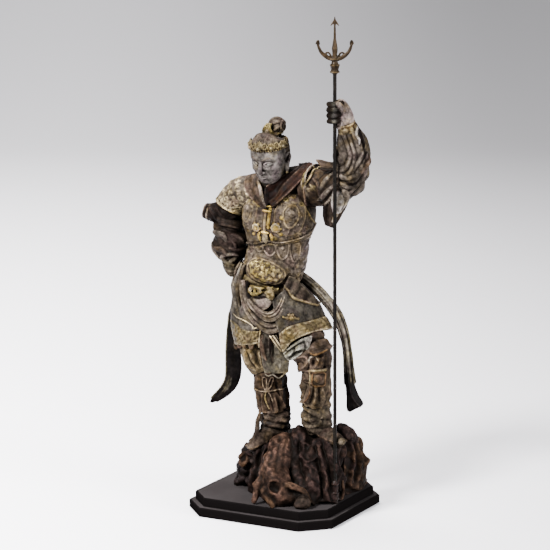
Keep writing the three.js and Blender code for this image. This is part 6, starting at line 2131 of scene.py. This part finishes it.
def noise(tree, place, scale, detail, rough):
    """A cloudy value from 0 to 1, with about scale features to a metre."""
    made = tree.nodes.new("ShaderNodeTexNoise")
    made.inputs["Scale"].default_value = scale
    made.inputs["Detail"].default_value = detail
    made.inputs["Roughness"].default_value = rough
    tree.links.new(place, made.inputs["Vector"])
    return made.outputs["Fac"]


def ramp(tree, value, low, high, to_low=0.0, to_high=1.0):
    """value between low and high, mapped smoothly to to_low and to_high."""
    made = tree.nodes.new("ShaderNodeMapRange")
    made.interpolation_type = "SMOOTHSTEP"
    made.inputs["From Min"].default_value = low
    made.inputs["From Max"].default_value = high
    made.inputs["To Min"].default_value = to_low
    made.inputs["To Max"].default_value = to_high
    tree.links.new(value, made.inputs["Value"])
    return made.outputs["Result"]


def maths(tree, operation, a, b):
    """One value worked out from two."""
    made = tree.nodes.new("ShaderNodeMath")
    made.operation = operation
    for socket, value in zip(made.inputs, (a, b)):
        if isinstance(value, (int, float)):
            socket.default_value = value
        else:
            tree.links.new(value, socket)
    return made.outputs[0]


def blend(tree, kind, share, a, b):
    """Two colours mixed or multiplied by a share."""
    made = tree.nodes.new("ShaderNodeMix")
    made.data_type = "RGBA"
    made.blend_type = kind
    for name, value in (("Factor", share), ("A", a), ("B", b)):
        wanted = "VALUE" if name == "Factor" else "RGBA"
        socket = [s for s in made.inputs if s.name == name and s.type == wanted][0]
        if isinstance(value, (int, float)):
            socket.default_value = value
        elif isinstance(value, tuple):
            socket.default_value = (*value, 1)
        else:
            tree.links.new(value, socket)
    return [s for s in made.outputs if s.type == "RGBA"][0]


def scaled(tree, colour, value):
    """A colour times a number."""
    made = tree.nodes.new("ShaderNodeVectorMath")
    made.operation = "SCALE"
    if isinstance(colour, tuple):
        made.inputs[0].default_value = colour
    else:
        tree.links.new(colour, made.inputs[0])
    tree.links.new(value, made.inputs["Scale"])
    return made.outputs["Vector"]


# Two tints of glaze, the colour of the dark wash that also serves as painted shade, and the paint's lightness
# over all
OLIVE = (1.1, 0.98, 0.66)
PLUM = (0.82, 0.72, 0.8)
WASH_AND_SHADE = (0.0009, 0.0006, 0.0004)
DIM = 0.09


def aged_paint(name, glaze, wash_and_shade, rub_and_highlight, sheen, gloss):
    """Paint that is mottled with thin glazes, with a dark wash in its hollows that ambient occlusion deepens
    into painted shade, and ridges rubbed paler by dry-brushing and as painted highlight.
    """
    material, tree, shader = new_material(name)
    place = tree.nodes.new("ShaderNodeTexCoord").outputs["Object"]
    paint = tree.nodes.new("ShaderNodeAttribute")
    paint.attribute_name = "paint"
    marks = tree.nodes.new("ShaderNodeAttribute")
    marks.attribute_name = "relief"
    split = tree.nodes.new("ShaderNodeSeparateColor")
    tree.links.new(marks.outputs["Color"], split.inputs["Color"])
    fine, broad = split.outputs["Red"], split.outputs["Green"]
    patches = noise(tree, place, 90, 5, 0.65)
    tints = noise(tree, place, 130, 4, 0.6)
    grain = noise(tree, place, 420, 4, 0.7)
    speckle = noise(tree, place, 1500, 3, 0.6)
    occlusion_shade = tree.nodes.new("ShaderNodeAmbientOcclusion")
    occlusion_shade.inputs["Distance"].default_value = 0.009
    occlusion_shade.samples = 8
    colour = blend(tree, "MULTIPLY", ramp(tree, tints, 0.5, 0.66, 0, glaze), paint.outputs["Color"], OLIVE)
    colour = blend(tree, "MULTIPLY", ramp(tree, tints, 0.5, 0.36, 0, glaze), colour, PLUM)
    mottle = ramp(tree, patches, 0.3, 0.7, 0.45, 1.5)
    mottle = maths(tree, "MULTIPLY", mottle, ramp(tree, grain, 0.34, 0.66, 0.42, 1.55))
    raised = maths(tree, "ADD", maths(tree, "MULTIPLY", fine, 0.6), maths(tree, "MULTIPLY", broad, 0.4))
    rubbed = maths(tree, "ADD", raised, maths(tree, "MULTIPLY", maths(tree, "SUBTRACT", speckle, 0.5), 0.4))
    # Ridges made lighter: dry-brushing, and a painted highlight that stands in for gloss
    crest_highlight = ramp(tree, rubbed, 0.54, 0.8)
    crest_highlight = maths(tree, "MULTIPLY", crest_highlight, ramp(tree, patches, 0.35, 0.6, 0.25, 1.0))
    rubbed_and_highlit = maths(tree, "ADD", maths(tree, "MULTIPLY", crest_highlight, rub_and_highlight), 1.0)
    lightness = maths(tree, "MULTIPLY", mottle, rubbed_and_highlit)
    colour = scaled(tree, colour, maths(tree, "MULTIPLY", lightness, DIM))
    hollow = ramp(tree, raised, 0.51, 0.27)
    hollow = maths(tree, "MAXIMUM", hollow, ramp(tree, broad, 0.44, 0.15, 0.0, 0.95))
    # Ambient occlusion darkens recesses and the gaps between parts: painted shade added to the wash
    deep = ramp(tree, occlusion_shade.outputs["AO"], 0.85, 0.3)
    dark = maths(tree, "MAXIMUM", maths(tree, "MULTIPLY", hollow, 0.9), deep)
    colour = blend(tree, "MIX", maths(tree, "MULTIPLY", dark, wash_and_shade), colour, WASH_AND_SHADE)
    tree.links.new(colour, shader.inputs["Base Color"])
    gild = paint.outputs["Alpha"]
    bare = maths(tree, "SUBTRACT", 1.0, dark)
    tree.links.new(maths(tree, "MULTIPLY", maths(tree, "MULTIPLY", gild, 0.6), bare),
                   shader.inputs["Metallic"])
    rough = maths(tree, "SUBTRACT", ramp(tree, grain, 0.3, 0.7, sheen - 0.06, sheen + 0.1),
                  maths(tree, "MULTIPLY", gild, 0.14))
    tree.links.new(rough, shader.inputs["Roughness"])
    shader.inputs["Specular IOR Level"].default_value = gloss
    bump = tree.nodes.new("ShaderNodeBump")
    bump.inputs["Strength"].default_value = 0.45
    bump.inputs["Distance"].default_value = 0.00012
    tree.links.new(maths(tree, "ADD", grain, maths(tree, "MULTIPLY", speckle, 0.5)), bump.inputs["Height"])
    tree.links.new(bump.outputs["Normal"], shader.inputs["Normal"])
    return material


def plinth_paint():
    """Black paint with a fine grain, and dust and a painted sheen on what faces up."""
    material, tree, shader = new_material("plinth_paint")
    place = tree.nodes.new("ShaderNodeTexCoord").outputs["Object"]
    grain = noise(tree, place, 1100, 3, 0.6)
    drift = noise(tree, place, 35, 3, 0.5)
    facing = tree.nodes.new("ShaderNodeSeparateXYZ")
    tree.links.new(tree.nodes.new("ShaderNodeTexCoord").outputs["Normal"], facing.inputs[0])
    # Faces that point up are painted lighter: dust, and painted sheen in place of the top's reflection
    dust_and_sheen = maths(tree, "MULTIPLY", ramp(tree, facing.outputs["Z"], 0.93, 0.99),
                 ramp(tree, drift, 0.3, 0.7, 0.8, 1.2))
    colour = blend(tree, "MIX", dust_and_sheen, (0.0012, 0.001, 0.001), (0.009, 0.0078, 0.0078))
    tree.links.new(colour, shader.inputs["Base Color"])
    tree.links.new(ramp(tree, grain, 0.3, 0.7, 0.46, 0.6), shader.inputs["Roughness"])
    shader.inputs["Specular IOR Level"].default_value = 0.0
    bump = tree.nodes.new("ShaderNodeBump")
    bump.inputs["Strength"].default_value = 0.25
    bump.inputs["Distance"].default_value = 0.00008
    tree.links.new(grain, bump.inputs["Height"])
    tree.links.new(bump.outputs["Normal"], shader.inputs["Normal"])
    return material


def dress_plinth():
    """Softens the plinth's edges and paints it."""
    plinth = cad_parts["plinth"]
    plinth.data.materials.clear()
    plinth.data.materials.append(plinth_paint())
    bevel = plinth.modifiers.new("soft edges", "BEVEL")
    bevel.width = 0.35 * MM
    bevel.segments = 3
    bevel.limit_method = "ANGLE"
    bevel.angle_limit = math.radians(25)
    bevel.harden_normals = False


figure_paint = aged_paint("figure_paint", 0.8, 0.94, 1.5, 0.5, 0.008)
rock_paint = aged_paint("rock_paint", 0.4, 0.97, 2.2, 0.6, 0.012)
trident_paint = aged_paint("trident_paint", 0.4, 0.6, 0.8, 0.45, 0.03)

# Each piece with the size of the voxels that fuse it, and how often its surface is smoothed
for name, shapes, voxel, smooth in (
    ("head", head, 0.22, 1),
    ("cuirass", torso, 0.33, 2),
    ("scarf", neck_and_scarf, 0.38, 2),
    ("right_arm", right_arm, 0.34, 2),
    ("left_arm", left_arm, 0.36, 2),
    ("left_hand", left_hand, 0.25, 2),
    ("skirts", skirts, 0.38, 2),
    ("sash", sash, 0.36, 2),
    ("legs", legs, 0.36, 2),
    ("boots", boots, 0.36, 2),
    ("ribbons", streamers, 0.34, 2),
):
    piece(name, shapes(), voxel, "figure", figure_paint, smooth)
piece("rock", rock(), 0.5, "rock_base", rock_paint, 2)
piece("trident_dressed", trident(), 0.22, "trident", trident_paint, 1)
dress_plinth()


# Floor and backdrop in one sweep, lights and camera

CAMERA_TURN = math.radians(28.3)
CAMERA_RISE = math.radians(11.4)
CAMERA_DISTANCE = 1.6065
LENS = 176.7
BACKDROP = srgb(192, 190, 193)


def stage():
    """A pale floor that curves up into a backdrop, painted darker towards the back and to the right as
    painted shade.
    """
    width, depth, height, bend = 6.0, 2.6, 4.0, 1.2
    profile = [(-2.5, 0.0)]
    for step in range(25):
        a = math.pi / 2 * step / 24
        profile.append((depth - bend + bend * math.sin(a), bend - bend * math.cos(a)))
    profile.append((depth, height))
    vertices = [(x, y, z - 0.00005) for y, z in profile for x in (-width / 2, width / 2)]
    faces = [(2 * i, 2 * i + 1, 2 * i + 3, 2 * i + 2) for i in range(len(profile) - 1)]
    mesh = bpy.data.meshes.new("backdrop")
    mesh.from_pydata(vertices, [], faces)
    mesh.shade_smooth()
    material, tree, shader = new_material("backdrop")
    place = tree.nodes.new("ShaderNodeTexCoord").outputs["Object"]
    axes = tree.nodes.new("ShaderNodeSeparateXYZ")
    tree.links.new(place, axes.inputs[0])
    # Painted shade: darker with distance up the sweep and towards the right
    far = ramp(tree, axes.outputs["Y"], -0.4, 2.6, 1.0, 0.31)
    aside = ramp(tree, axes.outputs["X"], -0.3, 0.3, 1.0, 0.42)
    shade = scaled(tree, BACKDROP, maths(tree, "MULTIPLY", far, aside))
    tree.links.new(shade, shader.inputs["Base Color"])
    shader.inputs["Roughness"].default_value = 0.95
    shader.inputs["Specular IOR Level"].default_value = 0.1
    mesh.materials.append(material)
    backdrop = bpy.data.objects.new("backdrop", mesh)
    backdrop.rotation_euler = (0, 0, CAMERA_TURN)
    bpy.context.collection.objects.link(backdrop)


def seen_from(right, up, back):
    """A place given as metres to the camera's right, up, and towards the camera from the object's middle."""
    c, s = math.cos(CAMERA_TURN), math.sin(CAMERA_TURN)
    return Vector((right * c + back * s, right * s - back * c, up))


def area_light(name, place, aim, size, power, colour=(1, 1, 1)):
    data = bpy.data.lights.new(name, "AREA")
    data.shape = "DISK"
    data.size = size
    data.energy = power
    data.color = colour
    made = bpy.data.objects.new(name, data)
    made.location = place
    made.rotation_euler = (aim - place).to_track_quat("-Z", "Y").to_euler()
    bpy.context.collection.objects.link(made)


def lights():
    """A key light from the upper left of the view, a cooler fill, a light from above and a pale sky."""
    middle = Vector((0, 0, 0.14))
    area_light("key", seen_from(-0.8, 1.05, 0.8), middle, 0.4, 260)
    area_light("fill", seen_from(1.3, 0.6, 0.9), middle, 0.7, 150, (0.97, 0.98, 1))
    area_light("top", seen_from(-0.2, 1.5, -0.5), middle, 0.8, 140)
    world = bpy.data.worlds.new("world")
    bpy.context.scene.world = world
    world.use_nodes = True
    world.node_tree.nodes["Background"].inputs["Color"].default_value = (0.96, 0.97, 1, 1)
    world.node_tree.nodes["Background"].inputs["Strength"].default_value = 1.3


def camera():
    """A long lens, level with the figure's chest and to his front left."""
    data = bpy.data.cameras.new("camera")
    data.lens = LENS
    data.sensor_width = 36
    data.clip_start = 0.05
    data.clip_end = 30
    made = bpy.data.objects.new("camera", data)
    back = seen_from(0, 0, 1) * math.cos(CAMERA_RISE) + Vector((0, 0, math.sin(CAMERA_RISE)))
    target = seen_from(-5.89 * MM, 142.1 * MM, 0)
    made.location = target + back * CAMERA_DISTANCE
    made.rotation_mode = "QUATERNION"
    made.rotation_quaternion = (-back).to_track_quat("-Z", "Y")
    bpy.context.collection.objects.link(made)
    bpy.context.scene.camera = made


stage()
lights()
camera()
